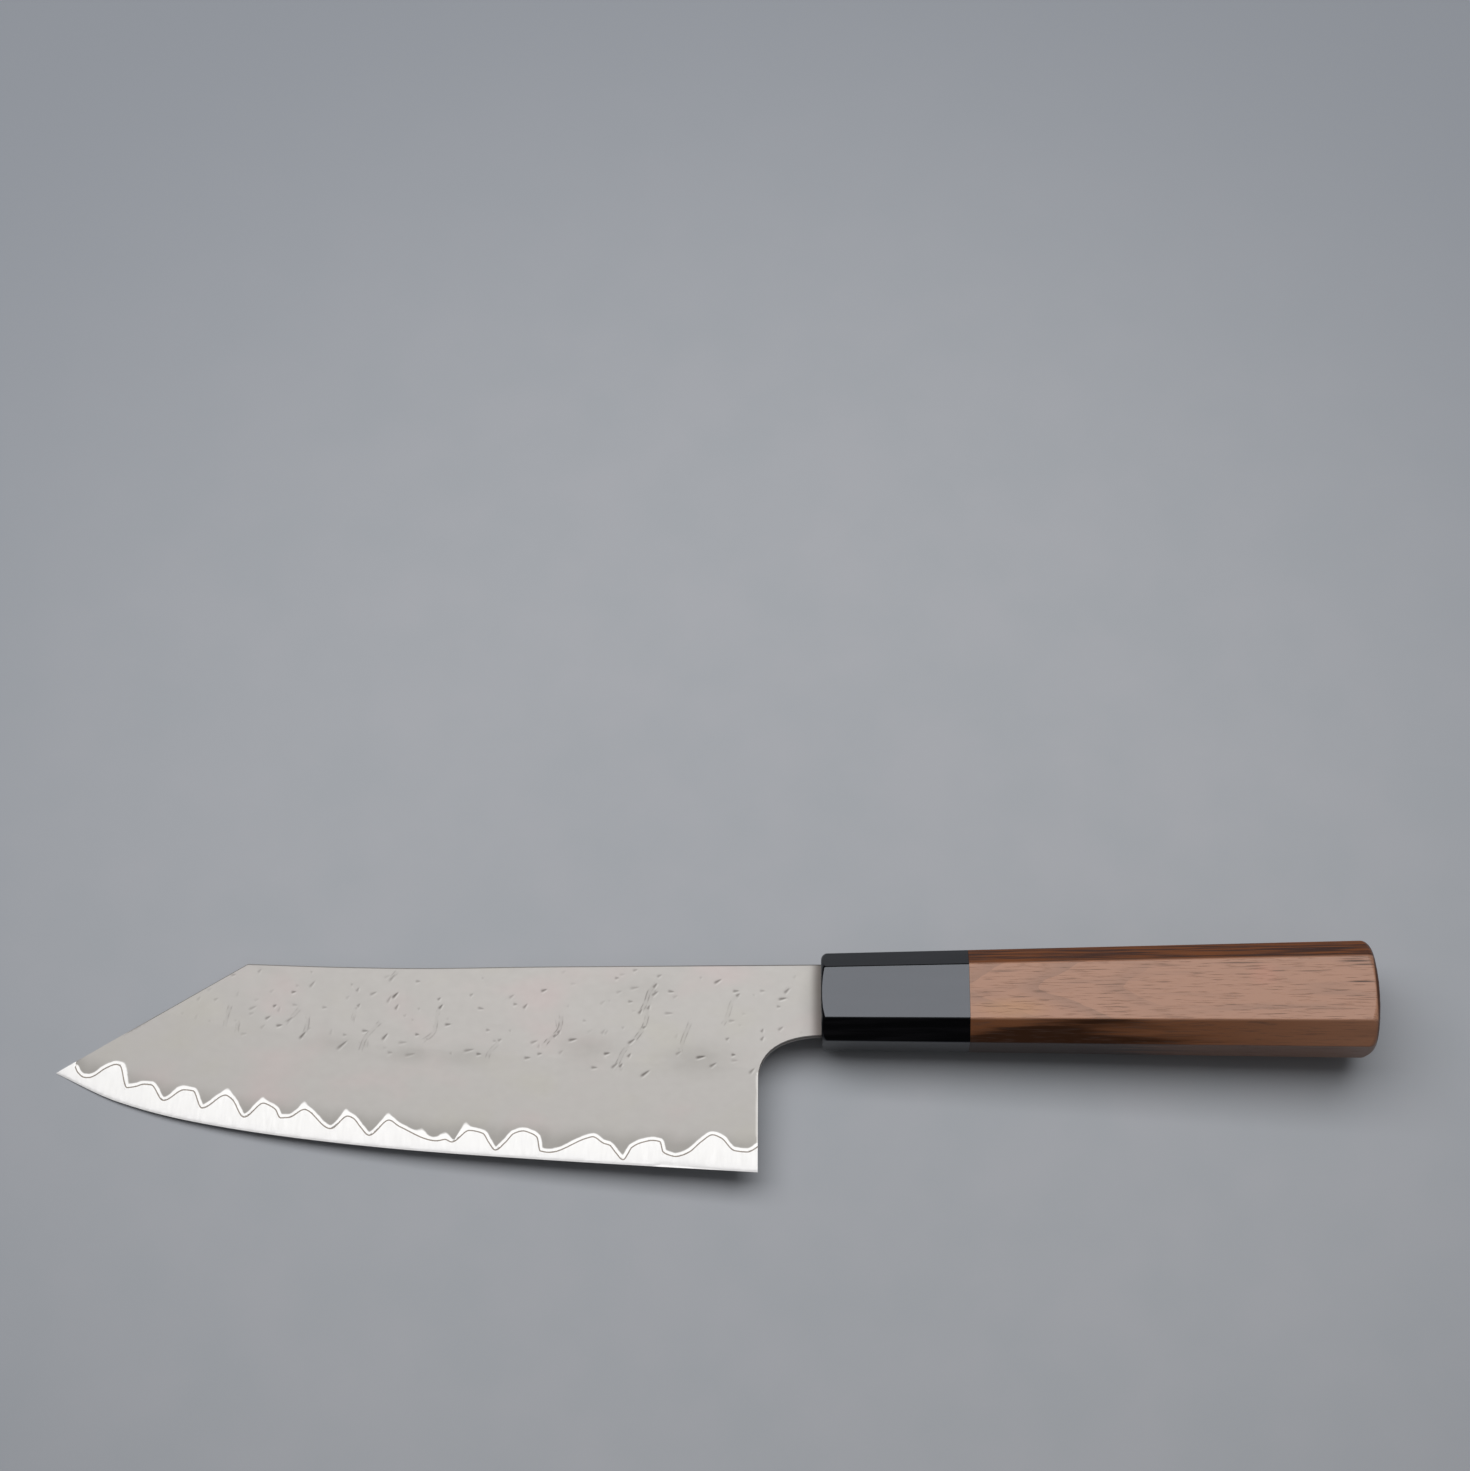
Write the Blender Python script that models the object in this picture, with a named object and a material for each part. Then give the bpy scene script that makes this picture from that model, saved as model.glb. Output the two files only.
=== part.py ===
"""Bunka kitchen knife: a three-layer forge-welded blade in an octagonal wooden handle.

The knife is modelled in its own frame, with the origin at the middle of the ferrule's mouth,
X towards the butt, Y towards the spine and Z out of the blade's left face. One empty then lays
it down as it rests on a table, on its right side, on the tip and the ferrule's front.
"""

import math

import bmesh
import bpy
from mathutils import Matrix, Vector

MM = 0.001

# Blade outline
BLADE_LENGTH = 173.5 * MM  # heel to tip, along the handle's axis
HEEL_SETBACK = 15.5 * MM  # heel to the ferrule's mouth
HEEL_DEPTH = 42.0 * MM  # cutting edge at the heel, below the handle's axis
TIP_RISE = 24.8 * MM  # the tip above the heel's edge
CLIP_LENGTH = 45.9 * MM  # tip back to the corner where the spine is clipped
SPINE_HEIGHT = 9.15 * MM  # spine above the handle's axis
CORNER_RISE = 1.2 * MM  # the clipped corner above the spine at the handle
NECK_DEPTH = 8.7 * MM  # underside of the neck, below the handle's axis
CHOIL_HEIGHT = 10.5 * MM  # height of the curve from the neck down to the straight heel
CHOIL_ROUND = 0.62  # how far the curve's handles reach, 0 straight to 1 square
CHOIL_STEPS = 12

# The cutting edge's belly, as shares of the blade's length and of the tip's rise
EDGE_BELLY = (
    (0.0, 0.0),
    (0.29, 0.123),
    (0.49, 0.226),
    (0.66, 0.357),
    (0.81, 0.53),
    (0.91, 0.719),
    (1.0, 1.0),
)
# The spine's slight hollow and its rise to the corner, as shares of its length and of that rise
SPINE_SWEEP = ((0.0, 0.0), (0.45, 0.0), (0.68, -0.16), (0.84, 0.24), (1.0, 1.0))

# Blade thickness
SPINE_AT_NECK = 3.0 * MM
SPINE_AT_CORNER = 1.6 * MM
BEVEL_HEIGHT = 25.0 * MM  # ground bevel, up from the edge
BEVEL_BELLY = 0.12  # how much the bevel swells, as in a clam-shell grind
EDGE_THICKNESS = 0.05 * MM
HONED_THICKNESS = 0.24 * MM  # where the honed edge meets the bevel
HONED_HEIGHT = 0.5 * MM
SPINE_EASE = 0.35 * MM  # rounding of the spine's long edges
SPINE_LAND = 0.12 * MM  # least width of a cladding's top where the blade is thinnest
LAYER_GAP = 0.02 * MM  # the weld between two layers

# The weld line on the bevel: its crests, hollows and steps from heel to tip, as shares of the
# blade's length and heights above the cutting edge in millimetres
WELD_LINE = (
    (0.000, 6.3),
    (0.014, 4.85),
    (0.032, 5.0),
    (0.050, 7.8),
    (0.063, 8.5),
    (0.095, 4.1),
    (0.114, 2.8),
    (0.131, 3.7),
    (0.135, 6.1),
    (0.146, 6.35),
    (0.176, 4.3),
    (0.187, 1.3),
    (0.206, 4.6),
    (0.214, 4.95),
    (0.230, 6.4),
    (0.250, 4.95),
    (0.274, 2.8),
    (0.290, 2.0),
    (0.303, 2.2),
    (0.307, 5.3),
    (0.328, 6.75),
    (0.341, 6.0),
    (0.366, 1.7),
    (0.384, 5.5),
    (0.394, 6.15),
    (0.404, 6.0),
    (0.428, 2.9),
    (0.437, 3.4),
    (0.449, 2.9),
    (0.470, 3.5),
    (0.502, 5.6),
    (0.518, 6.95),
    (0.545, 2.8),
    (0.568, 6.5),
    (0.577, 6.9),
    (0.600, 3.4),
    (0.639, 7.3),
    (0.660, 4.9),
    (0.672, 4.5),
    (0.679, 6.3),
    (0.698, 7.5),
    (0.724, 3.4),
    (0.742, 7.2),
    (0.753, 8.0),
    (0.785, 3.85),
    (0.799, 7.6),
    (0.813, 7.4),
    (0.841, 3.7),
    (0.860, 6.7),
    (0.872, 6.3),
    (0.895, 4.3),
    (0.907, 9.0),
    (0.914, 9.0),
    (0.945, 3.9),
    (0.958, 2.55),
    (0.968, 3.0),
    (0.975, 5.0),
)
STATIONS_PER_FLANK = 2  # cross-sections from each of those points to the next
CORNER_CLEARANCE = 0.7 * MM  # none of them nearer than this to the clipped corner
TIP_STATIONS = (0.985, 0.994, 0.9995)  # the last cross-sections, as shares of the blade's length
SLIM_HONED_SHARE = 0.4  # most of the section that the honed edge takes near the point
SLIM_SHOULDER_SHARE = 0.7  # most of what is above it that the bare core takes there
SLIM_RIDGE_SHARE = 0.8  # most of the cladding that its bevel takes there
SHORTEST_CLADDING = 1.05 * MM  # where the claddings end towards the point

# Tang
NECK_SEAT = 2.0 * MM  # how deep the full-height neck sits in the ferrule
TANG_LENGTH = 78.0 * MM
TANG_HEIGHT_FRONT = 9.6 * MM
TANG_HEIGHT_END = 6.0 * MM
TANG_END_THICKNESS = 2.0 * MM

# Octagonal handle: heights along Y, thicknesses along Z, chamfer legs at 45 degrees
HANDLE_LENGTH = 134.5 * MM
FERRULE_LENGTH = 35.95 * MM
HEIGHT_FRONT = 22.0 * MM
HEIGHT_BUTT = 26.5 * MM
THICKNESS_FRONT = 18.7 * MM
THICKNESS_BUTT = 21.9 * MM
CHAMFER_FRONT = 4.66 * MM
CHAMFER_BUTT = 5.3 * MM
FACET_EASE = 0.25 * MM  # how far the rounding of a long edge reaches onto each facet
EASE_DEPTH = 0.52  # from a 45 degree corner to its chord, where the rounding's middle lies
FACETS = 8
FACET_SHARES = (0.2, 0.4, 0.6, 0.8)  # where each facet is divided to let its end curve

# The handle's two ends: a crown over the face, and a rim rounded more at the corners
MOUTH_CROWN_RADIUS = math.inf  # flat
MOUTH_ROUND_MIDDLE = 0.45 * MM
MOUTH_ROUND_CORNER = 1.5 * MM
BUTT_CROWN_RADIUS = 60.0 * MM
BUTT_ROUND_MIDDLE = 1.1 * MM
BUTT_ROUND_CORNER = 1.9 * MM
RIM_POWER = 2.5  # how late along a facet its rounding grows towards the corner
RIM_STEPS = 5
CROWN_SHARES = (0.8, 0.5, 0.2)  # rings on the butt's crown, as shares of its rim
SETTLE_STEPS = 4  # repeats that bring an end's point onto the tapered facet

TURNED_STEPS = 64
QUARTER_TURN = math.radians(90)
SMOOTH_ANGLE = math.radians(25)
SAME_PLANE_ANGLE = math.radians(0.02)  # faces nearer in slope than this become one
SAME_POINT = 0.0001 * MM

# Joints inside the handle
GLUE_LINE = 0.05 * MM  # ferrule against wood
FIT_GAP = 0.3 * MM  # round each hidden joint
DOWEL_DIAMETER = 13.0 * MM
DOWEL_START = 6.0 * MM  # from the ferrule's mouth
DOWEL_END = TANG_LENGTH + 7.0 * MM  # solid wood past the tang's end
DOWEL_CHAMFER = 0.8 * MM
DRILL_POINT = 3.0 * MM
SEAL_WALL = 0.45 * MM
SEAL_GAP = 0.1 * MM
SEAL_RECESS = 0.15 * MM
SEAL_DEPTH = 1.6 * MM

CUT_MARGIN = 5.0 * MM  # how far a cutter reaches past what it cuts
CUT_DEPTH = 20.0 * MM


def clear_scene():
    for thing in list(bpy.data.objects):
        bpy.data.objects.remove(thing, do_unlink=True)


def smooth_line(points):
    """A smooth function through the points that never overshoots them (monotone cubic)."""
    xs = [p[0] for p in points]
    ys = [p[1] for p in points]
    slopes = [(ys[i + 1] - ys[i]) / (xs[i + 1] - xs[i]) for i in range(len(xs) - 1)]
    tangents = [slopes[0]]
    for before, after in zip(slopes, slopes[1:]):
        level = before * after <= 0
        tangents.append(0.0 if level else 2 * before * after / (before + after))
    tangents.append(slopes[-1])

    def value(x):
        x = min(max(x, xs[0]), xs[-1])
        i = max(k for k in range(len(xs) - 1) if xs[k] <= x)
        step = xs[i + 1] - xs[i]
        t = (x - xs[i]) / step
        return (
            ys[i] * (1 + 2 * t) * (1 - t) ** 2
            + step * tangents[i] * t * (1 - t) ** 2
            + ys[i + 1] * t * t * (3 - 2 * t)
            + step * tangents[i + 1] * t * t * (t - 1)
        )

    return value


BELLY = smooth_line(EDGE_BELLY)
SWEEP = smooth_line(SPINE_SWEEP)
WELD = smooth_line(WELD_LINE)
HEEL_X = -HEEL_SETBACK
TIP_X = -HEEL_SETBACK - BLADE_LENGTH
CORNER_X = TIP_X + CLIP_LENGTH
TIP_Y = TIP_RISE - HEEL_DEPTH


def share_from_heel(x):
    return (HEEL_X - x) / BLADE_LENGTH


def edge_y(x):
    return BELLY(share_from_heel(x)) * TIP_RISE - HEEL_DEPTH


def spine_y(x):
    """Upper outline: the spine from the tang to the corner, then the straight clip to the tip."""
    if x >= CORNER_X:
        return SPINE_HEIGHT + CORNER_RISE * SWEEP(max(x / CORNER_X, 0.0))
    along = (x - TIP_X) / CLIP_LENGTH
    return TIP_Y + along * (SPINE_HEIGHT + CORNER_RISE - TIP_Y)


def flat_half_thickness(x):
    """Half the thickness of the blade's flat: tapered to the point, and again along the tang."""
    if x > 0:
        return (SPINE_AT_NECK + (TANG_END_THICKNESS - SPINE_AT_NECK) * x / TANG_LENGTH) / 2
    return (SPINE_AT_NECK + (SPINE_AT_CORNER - SPINE_AT_NECK) * x / CORNER_X) / 2


def half_thickness(x, y):
    """Half the blade's thickness: honed edge, swelling bevel, then the flat."""
    height = y - edge_y(x)
    if height < HONED_HEIGHT:
        share = max(height, 0.0) / HONED_HEIGHT
        return (EDGE_THICKNESS + share * (HONED_THICKNESS - EDGE_THICKNESS)) / 2
    share = min((height - HONED_HEIGHT) / (BEVEL_HEIGHT - HONED_HEIGHT), 1.0)
    share *= 1 + BEVEL_BELLY * (1 - share)
    honed = HONED_THICKNESS / 2
    return honed + share * (flat_half_thickness(x) - honed)


def weld_y(x):
    """Where the cladding's feather edge draws the weld's wavy line on the bevel."""
    return edge_y(x) + WELD(share_from_heel(x)) * MM


def core_half_thickness(x):
    """The core fills the blade up to the weld."""
    return half_thickness(x, weld_y(x)) - LAYER_GAP


def bare_core_y(x):
    """Where the core's bevel ends: the weld's gap comes out on the slant as a narrow line."""
    slope = (flat_half_thickness(x) - HONED_THICKNESS / 2) / (BEVEL_HEIGHT - HONED_HEIGHT)
    return weld_y(x) - LAYER_GAP / slope


def blade_stations():
    """The cross-sections' places from tip to tang end, closest where the weld line bends."""
    shares = []
    for (start, _), (end, _) in zip(WELD_LINE, WELD_LINE[1:]):
        shares += [start + (end - start) * k / STATIONS_PER_FLANK for k in range(STATIONS_PER_FLANK)]
    shares += [WELD_LINE[-1][0], *TIP_STATIONS]
    places = [HEEL_X - share * BLADE_LENGTH for share in shares]
    places = [x for x in places if abs(x - CORNER_X) > CORNER_CLEARANCE]
    return sorted(places + [CORNER_X, HEEL_X / 2, 0.0, NECK_SEAT, TANG_LENGTH])


def core_section(x):
    """Half of the core's cross-section, from the edge up to the spine, as (y, z)."""
    top = spine_y(x)
    low = edge_y(x)
    honed = min(low + HONED_HEIGHT, low + (top - low) * SLIM_HONED_SHARE)
    shoulder = min(bare_core_y(x), honed + (top - honed) * SLIM_SHOULDER_SHARE)
    inner = core_half_thickness(x)
    levels = [low, honed, shoulder, top]
    return [(y, min(half_thickness(x, y), inner)) for y in levels]


def cladding_section(x):
    """The whole of a cladding's cross-section, as (y, z), from its feather edge up and back."""
    inner = core_half_thickness(x) + LAYER_GAP
    feather = weld_y(x)
    top = spine_y(x)
    eased = top - SPINE_EASE
    ridge = min(edge_y(x) + BEVEL_HEIGHT, feather + (eased - feather) * SLIM_RIDGE_SHARE)
    outside = [(feather + ridge) / 2, ridge, eased]
    section = [(feather, inner)]
    section += [(y, half_thickness(x, y)) for y in outside]
    section.append((top, max(half_thickness(x, top) - SPINE_EASE, inner + SPINE_LAND)))
    section.append((top, inner))
    return section


def loft(name, rings):
    """A closed solid through rings of as many points each, with flat ends."""
    shape = bmesh.new()
    loops = []
    for ring in rings:
        verts = [shape.verts.new(point) for point in ring]
        loops.append([shape.edges.new(pair) for pair in zip(verts, verts[1:] + verts[:1])])
        if ring is rings[0] or ring is rings[-1]:
            shape.faces.new(verts)
    for first, second in zip(loops, loops[1:]):
        quad_between(shape, first, second)
    bmesh.ops.recalc_face_normals(shape, faces=shape.faces)
    return finish(name, shape)


def quad_between(shape, first, second):
    """Side faces that join each edge of one ring to the same edge of the next."""
    for near, far in zip(first, second):
        a, b = near.verts
        c, d = far.verts
        shape.faces.new((a, b, d, c))


def finish(name, shape):
    """Turn a bmesh into a named object in the scene."""
    mesh = bpy.data.meshes.new(name)
    shape.to_mesh(mesh)
    shape.free()
    thing = bpy.data.objects.new(name, mesh)
    bpy.context.collection.objects.link(thing)
    return thing


def prism(name, outline, low, high):
    """An outline in the XY plane, raised from one height to another."""
    return loft(name, [[(x, y, z) for x, y in outline] for z in (low, high)])


def turned(name, profile):
    """A solid turned about the X axis from a profile of (x, radius) that starts and ends on it."""
    shape = bmesh.new()
    verts = [shape.verts.new((x, radius, 0)) for x, radius in profile]
    edges = [shape.edges.new(pair) for pair in zip(verts, verts[1:])]
    bmesh.ops.spin(
        shape,
        geom=verts + edges,
        cent=(0, 0, 0),
        axis=(1, 0, 0),
        angle=2 * math.pi,
        steps=TURNED_STEPS,
        use_merge=True,
    )
    bmesh.ops.remove_doubles(shape, verts=shape.verts, dist=SAME_POINT)
    bmesh.ops.recalc_face_normals(shape, faces=shape.faces)
    return finish(name, shape)


def block(name, x_range, y_range, z_half):
    """A box between two X and two Y places, even about the blade's plane."""
    (x0, x1), (y0, y1) = x_range, y_range
    return prism(name, [(x0, y0), (x1, y0), (x1, y1), (x0, y1)], -z_half, z_half)


def as_cutter(thing):
    thing.hide_render = True
    thing.display_type = "WIRE"
    return thing


def cut(thing, cutter):
    """Take a cutter out of a piece with an exact Boolean."""
    modifier = thing.modifiers.new(cutter.name, "BOOLEAN")
    modifier.operation = "DIFFERENCE"
    modifier.solver = "EXACT"
    modifier.object = as_cutter(cutter)


def shade_smooth(thing):
    thing.data.shade_smooth()
    thing.data.set_sharp_from_angle(angle=SMOOTH_ANGLE)


def tang_half_height(x):
    return (TANG_HEIGHT_FRONT + (TANG_HEIGHT_END - TANG_HEIGHT_FRONT) * x / TANG_LENGTH) / 2


def tang_middle():
    return (SPINE_HEIGHT - NECK_DEPTH) / 2


def bezier(start, start_handle, end_handle, end, steps):
    """Points along a cubic curve."""
    corners = [Vector(p) for p in (start, start_handle, end_handle, end)]
    points = []
    for i in range(steps + 1):
        t = i / steps
        weights = ((1 - t) ** 3, 3 * t * (1 - t) ** 2, 3 * t * t * (1 - t), t**3)
        points.append(sum((w * p for w, p in zip(weights, corners)), Vector((0, 0))))
    return points


def choil_curve():
    """From the straight heel up round to the underside of the neck."""
    low = (HEEL_X, -NECK_DEPTH - CHOIL_HEIGHT)
    high = (0.0, -NECK_DEPTH)
    low_handle = (HEEL_X, low[1] + CHOIL_HEIGHT * CHOIL_ROUND)
    high_handle = (high[0] + HEEL_X * CHOIL_ROUND, -NECK_DEPTH)
    return bezier(low, low_handle, high_handle, high, CHOIL_STEPS)


def belly_cutter():
    """All that is ground away behind the heel, under the neck and under the tang."""
    far = TANG_LENGTH + CUT_MARGIN
    deep = -HEEL_DEPTH - CUT_MARGIN
    outline = [(HEEL_X, deep)]
    outline += [tuple(point) for point in choil_curve()]
    outline += [
        (NECK_SEAT, -NECK_DEPTH),
        (NECK_SEAT, tang_middle() - tang_half_height(NECK_SEAT)),
        (far, tang_middle() - tang_half_height(far)),
        (far, deep),
    ]
    return prism("belly_cutter", outline, -CUT_DEPTH, CUT_DEPTH)


def back_cutter():
    """All that is ground away above the tang."""
    far = TANG_LENGTH + CUT_MARGIN
    high = SPINE_HEIGHT + CORNER_RISE + CUT_MARGIN
    outline = [
        (NECK_SEAT, high),
        (NECK_SEAT, tang_middle() + tang_half_height(NECK_SEAT)),
        (far, tang_middle() + tang_half_height(far)),
        (far, high),
    ]
    return prism("back_cutter", outline, -CUT_DEPTH, CUT_DEPTH)


def core_steel(cutters):
    """The hard middle layer, bare from the weld line down to the edge, with the tang's core."""
    rings = []
    for x in blade_stations():
        half = core_section(x)
        upper = [(x, y, z) for y, z in half]
        lower = [(x, y, -z) for y, z in reversed(half)]
        rings.append(upper + lower)
    core = loft("core_steel", rings)
    for cutter in cutters:
        cut(core, cutter)
    return core


def cladding(name, side, cutters):
    """A soft outer layer on the left (+1) or right (-1) of the core, down to the weld line."""
    rings = []
    for x in blade_stations():
        if spine_y(x) - weld_y(x) > SHORTEST_CLADDING:
            rings.append([(x, y, side * z) for y, z in cladding_section(x)])
    layer = loft(name, rings)
    for cutter in cutters:
        cut(layer, cutter)
    return layer


def octagon(x, inset=0.0):
    """The handle's eight corners at a distance from the mouth, drawn in by an inset."""
    share = x / HANDLE_LENGTH
    height = (HEIGHT_FRONT + (HEIGHT_BUTT - HEIGHT_FRONT) * share) / 2 - inset
    thickness = (THICKNESS_FRONT + (THICKNESS_BUTT - THICKNESS_FRONT) * share) / 2 - inset
    chamfer = CHAMFER_FRONT + (CHAMFER_BUTT - CHAMFER_FRONT) * share - inset * (2 - math.sqrt(2))
    quarter = [(height, thickness - chamfer), (height - chamfer, thickness)]
    upper = quarter + [(-y, z) for y, z in reversed(quarter)]
    return [Vector(corner) for corner in upper + [(-y, -z) for y, z in upper]]


def square_cut(x):
    """A way to place points on the octagon where the handle is cut square."""

    def place(facet, share):
        corners = octagon(x)
        y, z = corners[facet].lerp(corners[(facet + 1) % FACETS], share)
        return Vector((x, y, z))

    return place


def rounded_end(x_end, side, crown_radius, round_middle, round_corner, turn):
    """A way to place points on an end's rim, from turn 0 on the facets to 90 degrees on the face."""

    def place(facet, share):
        radius = round_middle + (round_corner - round_middle) * abs(2 * share - 1) ** RIM_POWER
        inset = radius * (1 - math.cos(turn))
        x = x_end
        for _ in range(SETTLE_STEPS):
            corners = octagon(x, inset)
            y, z = corners[facet].lerp(corners[(facet + 1) % FACETS], share)
            x = x_end - side * (crown_drop(crown_radius, y, z) + radius * (1 - math.sin(turn)))
        return Vector((x, y, z))

    return place


def crown_drop(radius, y, z):
    """How far a crowned face falls back from its middle."""
    off_axis = y * y + z * z
    return off_axis / (radius + math.sqrt(radius * radius - off_axis))


def ring_round(place):
    """Points round the octagon with its corners eased, each put down by a way to place points."""
    ring = []
    for facet in range(FACETS):
        width = (place(facet, 1.0) - place(facet, 0.0)).length
        ease = FACET_EASE / width
        ring += [place(facet, share) for share in (ease, *FACET_SHARES, 1.0 - ease)]
        corner = place(facet, 1.0)
        chord = (ring[-1] + place((facet + 1) % FACETS, ease)) / 2
        ring.append(corner.lerp(chord, EASE_DEPTH))
    return ring


def mouth_rings():
    """The ferrule's flat front with its rim, from the face back to the facets."""
    rings = []
    for step in range(RIM_STEPS, -1, -1):
        turn = QUARTER_TURN * step / RIM_STEPS
        size = (MOUTH_CROWN_RADIUS, MOUTH_ROUND_MIDDLE, MOUTH_ROUND_CORNER)
        rings.append(ring_round(rounded_end(0.0, -1, *size, turn)))
    return rings


def butt_rings():
    """The butt's rim and the crown inside it."""
    rings = []
    for step in range(RIM_STEPS + 1):
        turn = QUARTER_TURN * step / RIM_STEPS
        size = (BUTT_CROWN_RADIUS, BUTT_ROUND_MIDDLE, BUTT_ROUND_CORNER)
        rings.append(ring_round(rounded_end(HANDLE_LENGTH, 1, *size, turn)))
    rim = rings[-1]
    for share in CROWN_SHARES:
        ring = []
        for point in rim:
            y, z = point.y * share, point.z * share
            ring.append(Vector((HANDLE_LENGTH - crown_drop(BUTT_CROWN_RADIUS, y, z), y, z)))
        rings.append(ring)
    return rings


def faceted_bar(name, rings):
    """A length of the handle, with each long facet made one flat face."""
    bar = loft(name, rings)
    shape = bmesh.new()
    shape.from_mesh(bar.data)
    bmesh.ops.dissolve_limit(
        shape, angle_limit=SAME_PLANE_ANGLE, verts=shape.verts, edges=shape.edges
    )
    shape.to_mesh(bar.data)
    shape.free()
    return bar


def dowel_bore():
    """The drilled hole for the dowel: blind in the ferrule, with a drill point in the wood."""
    radius = DOWEL_DIAMETER / 2 + FIT_GAP
    end = DOWEL_END + FIT_GAP
    start = DOWEL_START - FIT_GAP
    return turned(
        "dowel_bore", [(start, 0.0), (start, radius), (end, radius), (end + DRILL_POINT, 0.0)]
    )


def neck_mortise():
    """The shallow pocket in the ferrule's front that takes the neck and its seal."""
    room = SEAL_WALL + 2 * SEAL_GAP
    return block(
        "neck_mortise",
        (-CUT_MARGIN, NECK_SEAT + FIT_GAP),
        (-NECK_DEPTH - room, SPINE_HEIGHT + room),
        SPINE_AT_NECK / 2 + room,
    )


def tang_slot(name, end):
    """The slot for the tang, from the ferrule's mouth to a given depth."""
    half = tang_half_height(0.0) + FIT_GAP
    return block(
        name,
        (-CUT_MARGIN, end),
        (tang_middle() - half, tang_middle() + half),
        SPINE_AT_NECK / 2 + FIT_GAP,
    )


def ferrule(bore):
    """The polished black collar, bored from behind and slotted for the tang."""
    back = ring_round(square_cut(FERRULE_LENGTH - GLUE_LINE))
    collar = faceted_bar("ferrule", [*mouth_rings(), back])
    cut(collar, bore)
    cut(collar, neck_mortise())
    cut(collar, tang_slot("ferrule_slot", DOWEL_START + CUT_MARGIN))
    return collar


def handle_body(bore):
    """The walnut grip, one tapered octagon with the ferrule, crowned at the butt."""
    front = ring_round(square_cut(FERRULE_LENGTH))
    grip = faceted_bar("handle_body", [front, *butt_rings()])
    cut(grip, bore)
    return grip


def dowel():
    """The hidden pin that joins ferrule and wood and holds the tang in its slot."""
    radius = DOWEL_DIAMETER / 2
    pin = turned(
        "dowel",
        [
            (DOWEL_START, 0.0),
            (DOWEL_START, radius - DOWEL_CHAMFER),
            (DOWEL_START + DOWEL_CHAMFER, radius),
            (DOWEL_END - DOWEL_CHAMFER, radius),
            (DOWEL_END, radius - DOWEL_CHAMFER),
            (DOWEL_END, 0.0),
        ],
    )
    cut(pin, tang_slot("dowel_slot", TANG_LENGTH + FIT_GAP))
    return pin


def tang_seal():
    """The dark resin collar that fills the mouth round the neck."""
    outer = SEAL_GAP + SEAL_WALL
    back = SEAL_RECESS + SEAL_DEPTH
    collar = block(
        "tang_seal",
        (SEAL_RECESS, back),
        (-NECK_DEPTH - outer, SPINE_HEIGHT + outer),
        SPINE_AT_NECK / 2 + outer,
    )
    opening = block(
        "seal_opening",
        (-CUT_MARGIN, back + CUT_MARGIN),
        (-NECK_DEPTH - SEAL_GAP, SPINE_HEIGHT + SEAL_GAP),
        SPINE_AT_NECK / 2 + SEAL_GAP,
    )
    cut(collar, opening)
    return collar


def material(name, colour, roughness, metallic=0.0):
    """A plain Principled material; the colour is linear RGB."""
    made = bpy.data.materials.new(name)
    made.use_nodes = True
    shader = made.node_tree.nodes["Principled BSDF"]
    shader.inputs["Base Color"].default_value = (*colour, 1.0)
    shader.inputs["Roughness"].default_value = roughness
    shader.inputs["Metallic"].default_value = metallic
    made.diffuse_color = (*colour, 1.0)
    return made


def dress(pieces):
    """Give each sub-part its own material."""
    finishes = {
        "core_steel": ((0.80, 0.80, 0.79), 0.18, 1.0),
        "left_cladding": ((0.46, 0.44, 0.42), 0.42, 1.0),
        "right_cladding": ((0.46, 0.44, 0.42), 0.42, 1.0),
        "ferrule": ((0.006, 0.006, 0.007), 0.08, 0.0),
        "handle_body": ((0.17, 0.075, 0.035), 0.42, 0.0),
        "dowel": ((0.55, 0.40, 0.24), 0.6, 0.0),
        "tang_seal": ((0.03, 0.018, 0.014), 0.35, 0.0),
    }
    for piece in pieces:
        piece.data.materials.clear()
        piece.data.materials.append(material(piece.name + "_finish", *finishes[piece.name]))


def rest_tilt():
    """The slope at which the tip and the ferrule's front both touch a flat surface."""
    drop = THICKNESS_FRONT / 2 - EDGE_THICKNESS / 2
    return math.atan2(drop, MOUTH_ROUND_MIDDLE - TIP_X)


def world_bounds(pieces):
    """Lowest and highest corners of the pieces as they stand, modifiers included."""
    bpy.context.view_layer.update()
    graph = bpy.context.evaluated_depsgraph_get()
    corners = []
    for piece in pieces:
        shown = piece.evaluated_get(graph)
        corners += [shown.matrix_world @ v.co for v in shown.data.vertices]
    low = Vector([min(c[i] for c in corners) for i in range(3)])
    high = Vector([max(c[i] for c in corners) for i in range(3)])
    return low, high


def lay_down(pieces, helpers):
    """Tilt the knife to its rest and set the origin under the middle of its bounds."""
    resting = bpy.data.objects.new("knife_at_rest", None)
    bpy.context.collection.objects.link(resting)
    for thing in pieces + helpers:
        thing.parent = resting
    resting.rotation_euler = (0.0, -rest_tilt(), 0.0)
    low, high = world_bounds(pieces)
    resting.location = -Vector(((low.x + high.x) / 2, (low.y + high.y) / 2, low.z))
    bpy.context.view_layer.update()
    return resting


def main():
    clear_scene()
    cutters = [belly_cutter(), back_cutter()]
    bore = dowel_bore()
    pieces = [
        core_steel(cutters),
        cladding("left_cladding", 1, cutters),
        cladding("right_cladding", -1, cutters),
        ferrule(bore),
        handle_body(bore),
        dowel(),
        tang_seal(),
    ]
    for piece in pieces:
        shade_smooth(piece)
    dress(pieces)
    helpers = [thing for thing in bpy.data.objects if thing.hide_render]
    lay_down(pieces, helpers)


main()
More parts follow.
